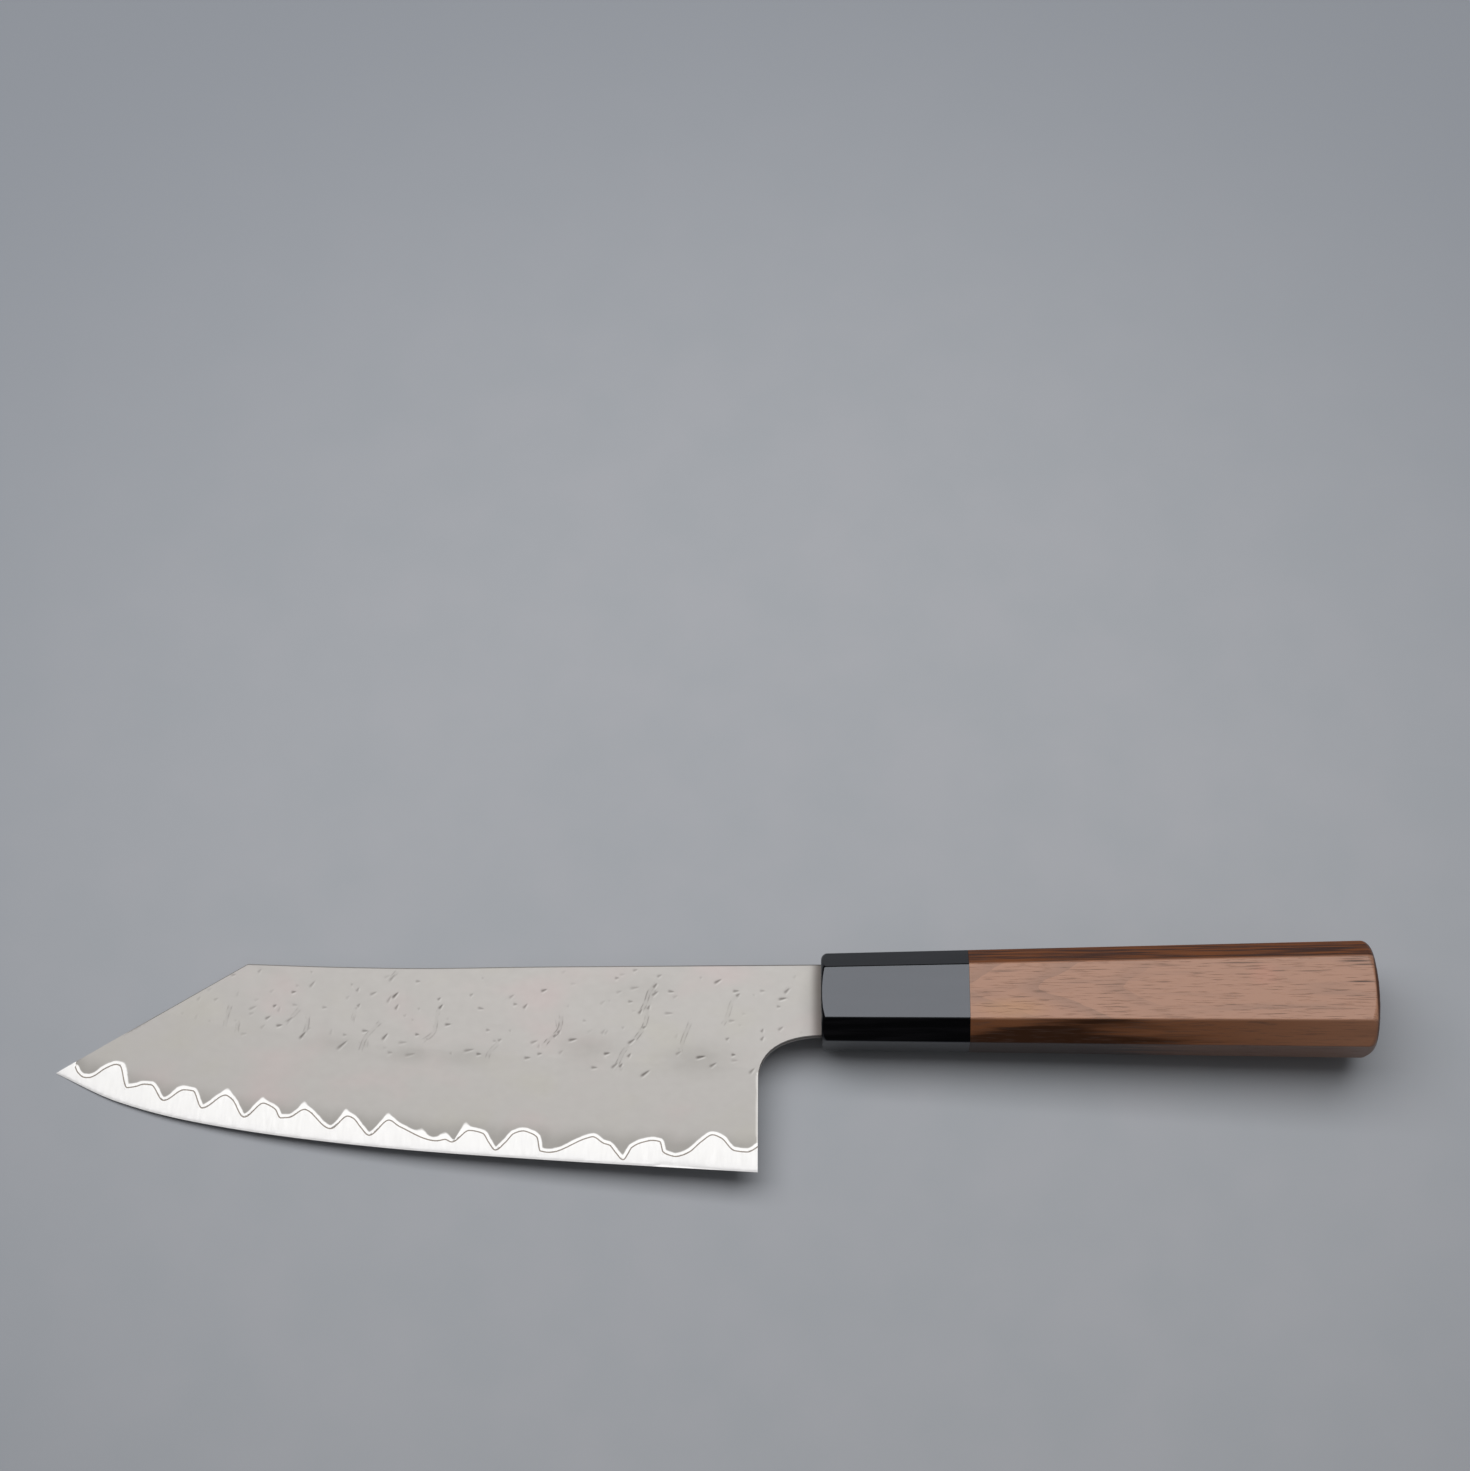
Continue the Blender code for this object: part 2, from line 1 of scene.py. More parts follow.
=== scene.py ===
"""Looks of the bunka knife: three forged layers of steel, a horn ferrule and a walnut grip.

Shapes and patterns are worked out in the knife's own millimetres: X from the ferrule's mouth
towards the butt, Y towards the spine, Z out of the left face, which lies upwards. One matrix
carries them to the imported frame, in which the knife rests on its right side.
"""

from __future__ import annotations

import logging
import math
import random
from dataclasses import dataclass, field
from enum import Enum

import bmesh
import bpy
import numpy as np
from mathutils import Matrix, Vector, noise


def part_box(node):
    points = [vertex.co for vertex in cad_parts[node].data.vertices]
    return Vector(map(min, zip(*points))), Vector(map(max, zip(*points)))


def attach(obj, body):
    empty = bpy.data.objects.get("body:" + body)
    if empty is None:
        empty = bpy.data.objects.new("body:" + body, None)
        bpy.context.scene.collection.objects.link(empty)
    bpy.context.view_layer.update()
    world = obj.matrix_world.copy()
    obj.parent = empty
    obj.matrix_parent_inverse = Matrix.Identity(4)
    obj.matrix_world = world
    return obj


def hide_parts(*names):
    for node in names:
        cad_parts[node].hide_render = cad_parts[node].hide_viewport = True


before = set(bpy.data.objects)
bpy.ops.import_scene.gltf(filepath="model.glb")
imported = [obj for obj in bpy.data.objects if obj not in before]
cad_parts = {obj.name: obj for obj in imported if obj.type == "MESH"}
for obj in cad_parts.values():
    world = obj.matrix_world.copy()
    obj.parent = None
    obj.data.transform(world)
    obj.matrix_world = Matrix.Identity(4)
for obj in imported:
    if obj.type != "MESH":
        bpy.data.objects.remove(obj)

MM = 0.001
SAME_POINT = 0.001 * MM
HAIR = 0.01  # mm: too small a distance to see
ON_CUT = 1e-5  # mm: points nearer than this to a cut lie on it
NO_LENGTH = 1e-12  # keeps a side without length from dividing by zero

# Sockets of Blender's Mix node when it mixes colours
FACTOR, COLOUR_A, COLOUR_B, MIXED = 0, 6, 7, 2
UNSTRETCHED = (1.0, 1.0, 1.0)
NOISE_SPAN = (0.3, 0.7)  # most of a noise node's values lie between these
BREAK_LAYER, BROAD_LAYER, RIPPLE_LAYER = 5.3, 3.1, 7.7  # unlike cuts through one noise field

Tree = bpy.types.NodeTree
Socket = bpy.types.NodeSocket
Pair = tuple[float, float]
Triple = tuple[float, float, float]
Colour = tuple[float, float, float, float]
Line = tuple[Pair, ...]
Inputs = dict[str | int, object]  # by input name or number, a socket to link or a value to set

logging.basicConfig(level=logging.INFO, format="%(name)s: %(message)s")
log = logging.getLogger("bunka knife")


class Side(Enum):
    """The two faces of the blade, as signs of the knife's Z axis."""

    LEFT = 1
    RIGHT = -1


class Carried(str, Enum):
    """Values that a blade's mesh carries at its points for its material."""

    WELD = "below_weld"  # millimetres below the weld line
    HALO = "halo_reach"  # the same as a share of the bright halo's width there
    EDGE = "edge_height"  # millimetres above the cutting edge
    SHADE = "smoky_shade"  # 0 clean to 1 smoky
    MARK = "hammer_mark"  # 0 bare to 1 dark scale
    LIP = "painted_lip_highlight"  # 0 none to 1: painted highlight beside the pits, and the bright rim along the heel
    MOUTH = "mouth_shade"  # 0 none to 1 darkest painted shade and reflection of the ferrule, next to it


@dataclass(frozen=True)
class Rest:
    """How the knife lies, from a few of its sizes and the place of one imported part."""

    tip_reach: float = 189.0  # tip from the ferrule's mouth
    mouth_round: float = 0.45
    front_half_thickness: float = 9.35
    edge_half_thickness: float = 0.025
    dowel_middle: float = 45.5  # middle of the dowel, which lies on the handle's axis

    @property
    def tilt(self) -> float:
        """The slope at which tip and ferrule both touch the floor, in radians."""
        rise = self.front_half_thickness - self.edge_half_thickness
        return math.atan2(rise, self.mouth_round + self.tip_reach)

    @property
    def origin(self) -> Vector:
        """The middle of the ferrule's mouth.

        Returns:
            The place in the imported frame, in metres.
        """
        low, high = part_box("dowel")
        turn = Matrix.Rotation(-self.tilt, 3, "Y")
        return (low + high) / 2 - turn @ Vector((self.dowel_middle * MM, 0.0, 0.0))

    def to_frame(self) -> Matrix:
        """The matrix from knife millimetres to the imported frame's metres."""
        turn = Matrix.Rotation(-self.tilt, 4, "Y")
        return Matrix.Translation(self.origin) @ turn @ Matrix.Scale(MM, 4)


REST = Rest()


def linear(shade: str) -> Colour:
    """Turn an sRGB hex colour into linear RGBA.

    Args:
        shade: the colour as "#RRGGBB".

    Returns:
        Four linear values with an alpha of 1.
    """
    parts = [int(shade[i : i + 2], 16) / 255 for i in (1, 3, 5)]
    # The curve that the sRGB standard lays down
    levels = [p / 12.92 if p <= 0.04045 else ((p + 0.055) / 1.055) ** 2.4 for p in parts]
    return (*levels, 1.0)


def feed(node: bpy.types.Node, inputs: Inputs) -> None:
    """Link sockets to a node's inputs, and set the other inputs' values.

    Args:
        node: the node.
        inputs: by input name or number, a socket to link or a value to set.
    """
    for name, source in inputs.items():
        if isinstance(source, Socket):
            node.id_data.links.new(source, node.inputs[name])
        else:
            node.inputs[name].default_value = source


def add_node(tree: Tree, kind: str, inputs: Inputs, **settings: object) -> bpy.types.Node:
    """Add a node with its settings and inputs.

    Args:
        tree: the node tree it goes into.
        kind: Blender's name for the kind of node, without "ShaderNode".
        inputs: by input name or number, a socket to link or a value to set.
        settings: the node's own properties.

    Returns:
        The new node.
    """
    node = tree.nodes.new("ShaderNode" + kind)
    for name, value in settings.items():
        setattr(node, name, value)
    feed(node, inputs)
    return node


@dataclass(frozen=True)
class Patch:
    """A soft long patch in a material: its middle and its reach, in knife millimetres."""

    middle: Triple
    reach: Triple
    top: float  # its strength in the middle
    solid: float = 0.2  # the share of the reach with that strength


class Recipe:
    """A material in the making, whose patterns are laid out in knife millimetres."""

    def __init__(self, name: str) -> None:
        """Start an empty node material.

        Args:
            name: the material's name.
        """
        self.material = bpy.data.materials.new(name)
        self.material.use_nodes = True
        self.tree = self.material.node_tree

    def place(self, stretch: Triple = UNSTRETCHED) -> Socket:
        """Object coordinates turned into knife millimetres.

        Args:
            stretch: pattern repeats per millimetre along X, Y and Z.

        Returns:
            The socket that gives the stretched place.
        """
        laid = {
            "Vector": add_node(self.tree, "TexCoord", {}).outputs["Object"],
            "Location": REST.origin,
            "Rotation": (0.0, -REST.tilt, 0.0),
            "Scale": (MM, MM, MM),
        }
        own = add_node(self.tree, "Mapping", laid, vector_type="TEXTURE").outputs["Vector"]
        if stretch == UNSTRETCHED:
            return own
        scaled = {"Vector": own, "Scale": stretch}
        return add_node(self.tree, "Mapping", scaled, vector_type="POINT").outputs["Vector"]

    def carried(self, name: Carried) -> Socket:
        """A value that the mesh carries at its points."""
        return add_node(self.tree, "Attribute", {}, attribute_name=name.value).outputs["Fac"]

    def cloud(self, size: Triple, detail: float, rough: float = 0.5) -> Socket:
        """Noise, mostly between 0.3 and 0.7.

        Args:
            size: repeats per millimetre along each axis.
            detail: how many finer layers are added.
            rough: how strong the finer layers are.

        Returns:
            The socket that gives the noise.
        """
        inputs = {"Vector": self.place(size), "Scale": 1.0, "Detail": detail, "Roughness": rough}
        return add_node(self.tree, "TexNoise", inputs).outputs["Fac"]

    def math(self, kind: str, *values: Socket | float) -> Socket:
        """Join values by one of Blender's Math operations."""
        inputs = dict(enumerate(values))
        return add_node(self.tree, "Math", inputs, operation=kind).outputs["Value"]

    def along(self, way: Triple, start: float = 0.0) -> Socket:
        """How far a place lies along a direction.

        Args:
            way: the direction, in knife millimetres.
            start: added to the result.

        Returns:
            The socket that gives that length.
        """
        made = add_node(
            self.tree, "VectorMath", {0: self.place(), 1: way}, operation="DOT_PRODUCT"
        )
        return self.math("ADD", made.outputs["Value"], start)

    def ramp(
        self, value: Socket, start: float, end: float, low: float = 0.0, high: float = 1.0
    ) -> Socket:
        """An even rise between two levels.

        Args:
            value: what is read.
            start: where it gives the low level.
            end: where it gives the high level.
            low: the low level.
            high: the high level.

        Returns:
            The socket that gives the level.
        """
        inputs = {"Value": value, "From Min": start, "From Max": end, "To Min": low, "To Max": high}
        return add_node(self.tree, "MapRange", inputs).outputs["Result"]

    def step(self, value: Socket, start: float, end: float, top: float = 1.0) -> Socket:
        """A smooth rise from 0.

        Args:
            value: what is read.
            start: where the rise starts.
            end: where it reaches the top.
            top: the level there.

        Returns:
            The socket that gives the level.
        """
        inputs = {"Value": value, "From Min": start, "From Max": end, "To Max": top}
        made = add_node(self.tree, "MapRange", inputs, interpolation_type="SMOOTHSTEP")
        return made.outputs["Result"]

    def patch(self, patch: Patch) -> Socket:
        """A soft long patch: its top in the middle, 0 outside its reach.

        Args:
            patch: its place, reach and top.

        Returns:
            The socket that gives the patch's value.
        """
        place = self.place(tuple(1 / r for r in patch.reach))
        middle = tuple(m / r for m, r in zip(patch.middle, patch.reach))
        made = add_node(self.tree, "VectorMath", {0: place, 1: middle}, operation="DISTANCE")
        return self.step(made.outputs["Value"], 1.0, patch.solid, patch.top)

    def blend(
        self, share: Socket | float, first: Socket | str, second: Socket | str, kind: str = "MIX"
    ) -> Socket:
        """Mix two colours.

        Args:
            share: 0 for all of the first, 1 for all of the second.
            first: a socket, or an sRGB hex colour.
            second: the same.
            kind: Blender's name for the way to mix.

        Returns:
            The socket that gives the colour.
        """
        first, second = (linear(c) if isinstance(c, str) else c for c in (first, second))
        inputs = {FACTOR: share, COLOUR_A: first, COLOUR_B: second}
        return add_node(self.tree, "Mix", inputs, data_type="RGBA", blend_type=kind).outputs[MIXED]

    def bump(self, height: Socket, strength: float, depth: float, invert: bool = False) -> Socket:
        """Relief too fine for the mesh.

        Args:
            height: the relief, from 0 to 1.
            strength: how strongly the light follows it.
            depth: its depth in millimetres.
            invert: whether 1 is a pit and not a rise.

        Returns:
            The socket that gives the bent normal.
        """
        inputs = {"Height": height, "Strength": strength, "Distance": depth * MM}
        return add_node(self.tree, "Bump", inputs, invert=invert).outputs["Normal"]

    def serve(self, inputs: Inputs) -> bpy.types.Material:
        """Feed the shader's inputs and hand the material over."""
        feed(self.tree.nodes["Principled BSDF"], inputs)
        return self.material


@dataclass(frozen=True)
class Finish:
    """What every finish has: a material name, and a roughness that may stray a little."""

    name: str
    roughness: float = 0.5
    uneven: float = 0.0  # how far the roughness strays

    def rough_span(self) -> Pair:
        """The lowest and the highest roughness."""
        return self.roughness - self.uneven, self.roughness + self.uneven


@dataclass(frozen=True)
class PolishedCore(Finish):
    """High-carbon core steel, hardened, ground on stones and polished.

    The eye sees it almost white, a little greyer towards the honed edge, with strokes of the
    stones across it and a thin oxide line where the weld to the cladding comes out.
    """

    roughness: float = 0.62
    uneven: float = 0.04
    bright: str = "#E1E0DF"
    edge_grey: str = "#DDDCDC"
    oxide: str = "#8C847D"
    line_width: float = 0.3  # of the oxide line, mm
    line_end: Pair = (0.8, 1.25)  # where it fades out, in shares of its width
    grey_height: float = 2.2  # the greyer rim's height above the edge, mm
    stroke: Triple = (1.8, 0.22, 1.0)  # per mm; real strokes are ten times finer
    stroke_dark: float = 0.95  # the darkest stroke's share of the colour

    def material(self) -> bpy.types.Material:
        """Build the node material.

        Returns:
            The material.
        """
        steel = Recipe(self.name)
        strokes = steel.cloud(self.stroke, 5.0, 0.7)
        rise = steel.ramp(steel.carried(Carried.EDGE), 0.0, self.grey_height)
        body = steel.blend(rise, self.edge_grey, self.bright)
        worn = steel.ramp(strokes, *NOISE_SPAN, self.stroke_dark)
        stroked = steel.blend(1.0, body, worn, "MULTIPLY")
        below = steel.carried(Carried.WELD)
        clean = steel.step(below, *(self.line_width * share for share in self.line_end))
        return steel.serve(
            {
                "Base Color": steel.blend(clean, self.oxide, stroked),
                "Roughness": steel.ramp(strokes, *NOISE_SPAN, *self.rough_span()),
                "Metallic": 1.0,
            }
        )


@dataclass(frozen=True)
class ForgedCladding(Finish):
    """Soft iron cladding, hammered hot, etched, then ground matte on its bevel.

    The eye sees a warm even grey with faint tints of oxide, dark scale left in the hammer marks,
    smoky shading in the weld line's hollows and a white rim of bared steel along the weld. A painted
    highlight lies on the pits' lips, and painted shade of the ferrule on the neck.
    """

    roughness: float = 0.7
    uneven: float = 0.01
    grey: str = "#B9B6B3"
    rosy: str = "#BEB5B3"
    straw: str = "#B8B5AC"
    scale: str = "#6A6561"
    smoke: str = "#A3A09C"
    halo: str = "#F2F1F0"
    # Painted highlight on the lip beside each pit
    lip: str = "#DCDAD7"
    # Painted shade and dark reflection that the black ferrule throws on the neck
    painted_ferrule_shade: str = "#5A504B"
    tint_size: Triple = (0.035, 0.06, 0.06)  # patches of 15 to 30 mm
    rosy_levels: Pair = (0.5, 0.72)  # of that noise, where the tint starts and ends
    rosy_top: float = 0.8
    straw_levels: Pair = (0.47, 0.3)
    straw_top: float = 0.35
    halo_fray: float = 0.5  # how far the mottling frays it, in shares of its width
    halo_end: Pair = (0.98, 1.5)  # where it fades out, in shares of its width
    mottle: Triple = (0.5, 0.7, 0.7)  # mottling of 1.5 to 2 mm
    mottle_levels: Pair = (0.988, 1.004)
    grit: Triple = (3.0, 3.0, 3.0)  # grains per mm in the bump; the real grit is five times finer
    grit_depth: float = 0.03
    grit_strength: float = 0.12

    def material(self) -> bpy.types.Material:
        """Build the node material.

        Returns:
            The material.
        """
        iron = Recipe(self.name)
        tint = iron.cloud(self.tint_size, 2.0)
        rosy = iron.step(tint, *self.rosy_levels, self.rosy_top)
        straw = iron.step(tint, *self.straw_levels, self.straw_top)
        colour = iron.blend(straw, iron.blend(rosy, self.grey, self.rosy), self.straw)
        mottle = iron.cloud(self.mottle, 4.0)
        worn = iron.ramp(mottle, *NOISE_SPAN, *self.mottle_levels)
        colour = iron.blend(1.0, colour, worn, "MULTIPLY")
        layers = {
            Carried.SHADE: self.smoke,
            Carried.LIP: self.lip,
            Carried.MARK: self.scale,
            Carried.MOUTH: self.painted_ferrule_shade,
        }
        for carried, shade in layers.items():
            colour = iron.blend(iron.carried(carried), colour, shade)
        # The white rim's border is frayed by the mottling
        ragged = iron.math("MULTIPLY_ADD", mottle, self.halo_fray, iron.carried(Carried.HALO))
        relief = iron.bump(iron.cloud(self.grit, 3.0), self.grit_strength, self.grit_depth)
        return iron.serve(
            {
                "Base Color": iron.blend(iron.step(ragged, *self.halo_end), self.halo, colour),
                "Roughness": iron.ramp(mottle, *NOISE_SPAN, *self.rough_span()),
                "Normal": relief,
                "Metallic": 1.0,
            }
        )


@dataclass(frozen=True)
class BuffaloHorn(Finish):
    """Black buffalo horn, sawn, sanded flat and buffed to a deep polish.

    The eye sees black with a mirror on each facet, a hint of grey fibre deep inside and the slight
    unevenness that buffing leaves.
    """

    roughness: float = 0.07
    dullest: float = 0.112  # roughness where the buffing left it dull
    body: str = "#050506"
    fibre: str = "#121113"
    gleam: str = "#F0F5FF"
    fibre_size: Triple = (0.05, 0.7, 0.7)
    fibre_levels: Pair = (0.45, 0.75)
    buffing_size: Triple = (0.06, 0.12, 0.12)
    ior: float = 1.55

    def material(self) -> bpy.types.Material:
        """Build the node material.

        Returns:
            The material.
        """
        horn = Recipe(self.name)
        fibres = horn.ramp(horn.cloud(self.fibre_size, 4.0), *self.fibre_levels)
        buffed = horn.cloud(self.buffing_size, 2.0)
        return horn.serve(
            {
                "Base Color": horn.blend(fibres, self.body, self.fibre),
                "Roughness": horn.ramp(buffed, *NOISE_SPAN, self.roughness, self.dullest),
                "IOR": self.ior,
                "Specular Tint": linear(self.gleam),
            }
        )


@dataclass(frozen=True)
class OiledWalnut(Finish):
    """Walnut, sawn along the grain at a slight slant, sanded and oiled.

    The eye sees warm brown with two pointed tongues of darker late wood that fade into straight
    grain, fine dark pores along it, painted shade on the chamfers over streaky grain on the spine's
    side, a nearly black heart streak low at the front, a dark end grain and a low sheen.
    """

    roughness: float = 0.34
    pore_roughness: float = 0.54
    sheen: float = 0.3  # specular level; oil soaked in and wiped off leaves little gloss
    early: str = "#9E755F"
    late: str = "#775B4D"
    pore: str = "#4C3A32"
    # Painted shade on the lower chamfer
    near_chamfer_shade: str = "#693E22"
    heart: str = "#351E10"
    # Painted shade on the chamfer towards the spine, streaked between these two tones by the grain
    far_chamfer_shade_dark: str = "#341706"
    far_chamfer_shade_pale: str = "#6C390C"
    end_grain: str = "#3C2116"
    rosy: str = "#AA7763"
    straw: str = "#AA7E59"
    rosy_patch: Patch = Patch((106.5, 3.5, 10.5), (5.0, 4.0, 6.0), 0.5)
    straw_patch: Patch = Patch((46.0, -4.5, 10.0), (12.0, 3.6, 6.0), 0.6)
    # The darkest single pores, which lie near the butt and beside the facet's edges
    long_pores: tuple[Patch, ...] = (
        Patch((128.5, 6.6, 10.9), (6.0, 0.35, 1.2), 0.9),
        Patch((130.5, 5.7, 10.9), (5.0, 0.3, 1.2), 0.8),
        Patch((129.5, 1.5, 10.9), (5.0, 0.3, 1.2), 1.0),
        Patch((101.0, 6.4, 10.5), (9.0, 0.3, 1.2), 0.7),
        Patch((118.0, 4.2, 10.7), (6.0, 0.25, 1.2), 0.6),
        Patch((44.0, 4.8, 9.8), (5.0, 0.3, 1.2), 0.5),
    )
    ring: float = 4.85  # ring spacing, mm
    late_span: Pair = (0.5, 0.0)  # of a ring, from its pale to its darkest wood
    tongue: Triple = (53.6, 0.75, 9.99)  # where the first tongue starts
    tongue_slope: Pair = (0.547, 0.373)  # of its upper and its lower flank
    tongue_round: float = 0.8
    slant: float = 0.25  # how fast the rings pass along the grip
    figure_end: Pair = (64.0, 92.0)  # where the tongues fade into straight grain
    figure_top: float = 0.42
    wobble: float = 2.4  # how far the rings stray, mm
    wobble_size: Triple = (0.05, 0.13, 0.13)
    pore_size: Triple = (0.16, 4.2, 4.2)  # pores 0.25 mm wide, 6 mm long
    pore_levels: Pair = (0.54, 0.7)  # of the noise, where pores start and are darkest
    pore_top: float = 0.55
    pore_depth: float = 0.05
    pore_strength: float = 0.5
    streak_size: Triple = (0.035, 0.55, 0.55)
    streak_levels: Pair = (0.48, 0.76)
    streak_top: float = 0.45
    spine_streak_size: Triple = (0.05, 1.7, 1.7)
    spine_streak_levels: Pair = (0.38, 0.64)
    near_chamfer_shade_top: float = 0.88
    near_chamfer_shade_fade: Pair = (200.0, 60.0)  # the painted shade on the lower side fades towards the butt
    heart_slope: float = 0.085  # of the heart streak's upper border
    heart_level: float = 64.0  # where that border meets the facet's edge
    heart_fray: float = 6.0
    heart_border: Pair = (-0.7, 0.7)  # how softly it ends above, mm
    heart_edge: Pair = (-0.1, 0.25)  # and at the facet's edge
    heart_end: Pair = (60.0, 36.0)
    heart_end_fray: float = 60.0
    facet_half_height: float = 6.34  # of the upper facet, carried on to the ferrule's mouth
    facet_growth: float = 0.012  # what it gains per millimetre towards the butt
    facet_edge: Pair = (-0.1, 0.5)  # where the chamfers' painted shade begins and is full
    end_rim: Pair = (132.5, 133.0)  # where the end grain begins and is full
    end_top: float = 0.9

    def rings(self, wood: Recipe) -> Socket:
        """Growth rings that the upper facet cuts into pointed tongues.

        Args:
            wood: the material in the making.

        Returns:
            The socket that gives 0 at each ring's dark end and rises to 1 towards its pale start.
        """
        start_x, start_y, start_z = self.tongue
        upper, lower = (self.slant / slope for slope in self.tongue_slope)
        # Counted from the tongue's tip: passed along the grip, down into the wood, and aside
        passed = wood.along(
            (-self.slant, (upper - lower) / 2, -1.0),
            self.slant * start_x - (upper - lower) / 2 * start_y + start_z,
        )
        high = wood.along((0.0, 1.0, 0.0), -start_y)
        aside = wood.math("SQRT", wood.math("MULTIPLY_ADD", high, high, self.tongue_round**2))
        radius = wood.math("MULTIPLY_ADD", aside, (upper + lower) / 2, passed)
        strayed = wood.math("MULTIPLY_ADD", wood.cloud(self.wobble_size, 3.0), self.wobble, radius)
        shift = -self.wobble / 2 - self.tongue_round * (upper + lower) / 2
        level = wood.math("ADD", strayed, shift)
        return wood.math("FRACT", wood.math("DIVIDE", level, self.ring))

    def beyond_facet(self, wood: Recipe, side: float) -> Socket:
        """How far a place lies outside the upper facet.

        Args:
            wood: the material in the making.
            side: 1 for the edge towards the spine, -1 for the other one.

        Returns:
            The socket that gives the millimetres.
        """
        return wood.along((-self.facet_growth, side, 0.0), -self.facet_half_height)

    def heart_streak(self, wood: Recipe, streaks: Socket) -> Socket:
        """The nearly black wood on the lower chamfer, from the ferrule to the grip's middle.

        Args:
            wood: the material in the making.
            streaks: noise that frays it along the grain.

        Returns:
            The socket that gives 1 in the dark wood and 0 outside it.
        """
        below = self.beyond_facet(wood, -1.0)
        frayed = wood.math("MULTIPLY_ADD", streaks, self.heart_fray, below)
        start = -self.heart_slope * self.heart_level - self.heart_fray / 2
        border = wood.math("ADD", frayed, wood.along((self.heart_slope, 0.0, 0.0), start))
        inside = wood.step(border, *self.heart_border)
        under = wood.step(below, *self.heart_edge)
        length = wood.along((1.0, 0.0, 0.0))
        frayed_end = wood.math("MULTIPLY_ADD", streaks, -self.heart_end_fray, length)
        before_end = wood.step(frayed_end, *self.heart_end)
        return wood.math("MULTIPLY", wood.math("MULTIPLY", inside, under), before_end)

    def pores(self, wood: Recipe) -> Socket:
        """Open pores: 0 between them, up to 1 in the darkest.

        Args:
            wood: the material in the making.

        Returns:
            The socket that gives their depth.
        """
        made = wood.step(wood.cloud(self.pore_size, 3.0), *self.pore_levels, self.pore_top)
        for pore in self.long_pores:
            made = wood.math("MAXIMUM", made, wood.patch(pore))
        return made

    def body(self, wood: Recipe) -> Socket:
        """The wood's colour between its pores.

        Args:
            wood: the material in the making.

        Returns:
            The socket that gives the colour.
        """
        length = wood.along((1.0, 0.0, 0.0))
        faded_from, faded_to = self.figure_end
        figured = wood.step(length, faded_to, faded_from, self.figure_top)
        late = wood.math("MULTIPLY", wood.step(self.rings(wood), *self.late_span), figured)
        streaks = wood.cloud(self.streak_size, 5.0)
        fine = wood.step(streaks, *self.streak_levels, self.streak_top)
        colour = wood.blend(wood.math("MAXIMUM", late, fine), self.early, self.late)
        colour = wood.blend(wood.patch(self.rosy_patch), colour, self.rosy)
        colour = wood.blend(wood.patch(self.straw_patch), colour, self.straw)
        # Painted shade beyond the facet's long edges, over streaky grain on the spine's side
        lines = wood.step(wood.cloud(self.spine_streak_size, 4.0), *self.spine_streak_levels)
        spine = wood.blend(lines, self.far_chamfer_shade_dark, self.far_chamfer_shade_pale)
        far = wood.step(self.beyond_facet(wood, 1.0), *self.facet_edge)
        colour = wood.blend(far, colour, spine)
        # Painted shade on the lower chamfer, fading towards the butt
        near = wood.step(self.beyond_facet(wood, -1.0), *self.facet_edge, self.near_chamfer_shade_top)
        lower = wood.math("MULTIPLY", near, wood.step(length, *self.near_chamfer_shade_fade))
        colour = wood.blend(lower, colour, self.near_chamfer_shade)
        colour = wood.blend(self.heart_streak(wood, streaks), colour, self.heart)
        return wood.blend(wood.step(length, *self.end_rim, self.end_top), colour, self.end_grain)

    def material(self) -> bpy.types.Material:
        """Build the node material.

        Returns:
            The material.
        """
        wood = Recipe(self.name)
        pores = self.pores(wood)
        return wood.serve(
            {
                "Base Color": wood.blend(pores, self.body(wood), self.pore),
                "Roughness": wood.ramp(pores, 0.0, 1.0, self.roughness, self.pore_roughness),
                "Normal": wood.bump(pores, self.pore_strength, self.pore_depth, invert=True),
                "Specular IOR Level": self.sheen,
            }
        )


@dataclass(frozen=True)
class TurnedMagnolia(Finish):
    """Magnolia wood, turned for the hidden dowel: pale, even, with soft grain along it."""

    roughness: float = 0.6
    pale: str = "#C9AE84"
    grain: str = "#A5865C"
    grain_size: Triple = (0.06, 1.2, 1.2)

    def material(self) -> bpy.types.Material:
        """Build the node material.

        Returns:
            The material.
        """
        wood = Recipe(self.name)
        colour = wood.blend(wood.cloud(self.grain_size, 4.0), self.pale, self.grain)
        return wood.serve({"Base Color": colour, "Roughness": self.roughness})


@dataclass(frozen=True)
class SealResin(Finish):
    """Dark epoxy resin, poured round the tang and wiped: brown-black, uneven, half glossy."""

    roughness: float = 0.35
    dark: str = "#1A1210"
    brown: str = "#3A2420"
    smear_size: Triple = (0.8, 0.5, 0.8)

    def material(self) -> bpy.types.Material:
        """Build the node material.

        Returns:
            The material.
        """
        resin = Recipe(self.name)
        colour = resin.blend(resin.cloud(self.smear_size, 3.0), self.dark, self.brown)
        return resin.serve({"Base Color": colour, "Roughness": self.roughness})


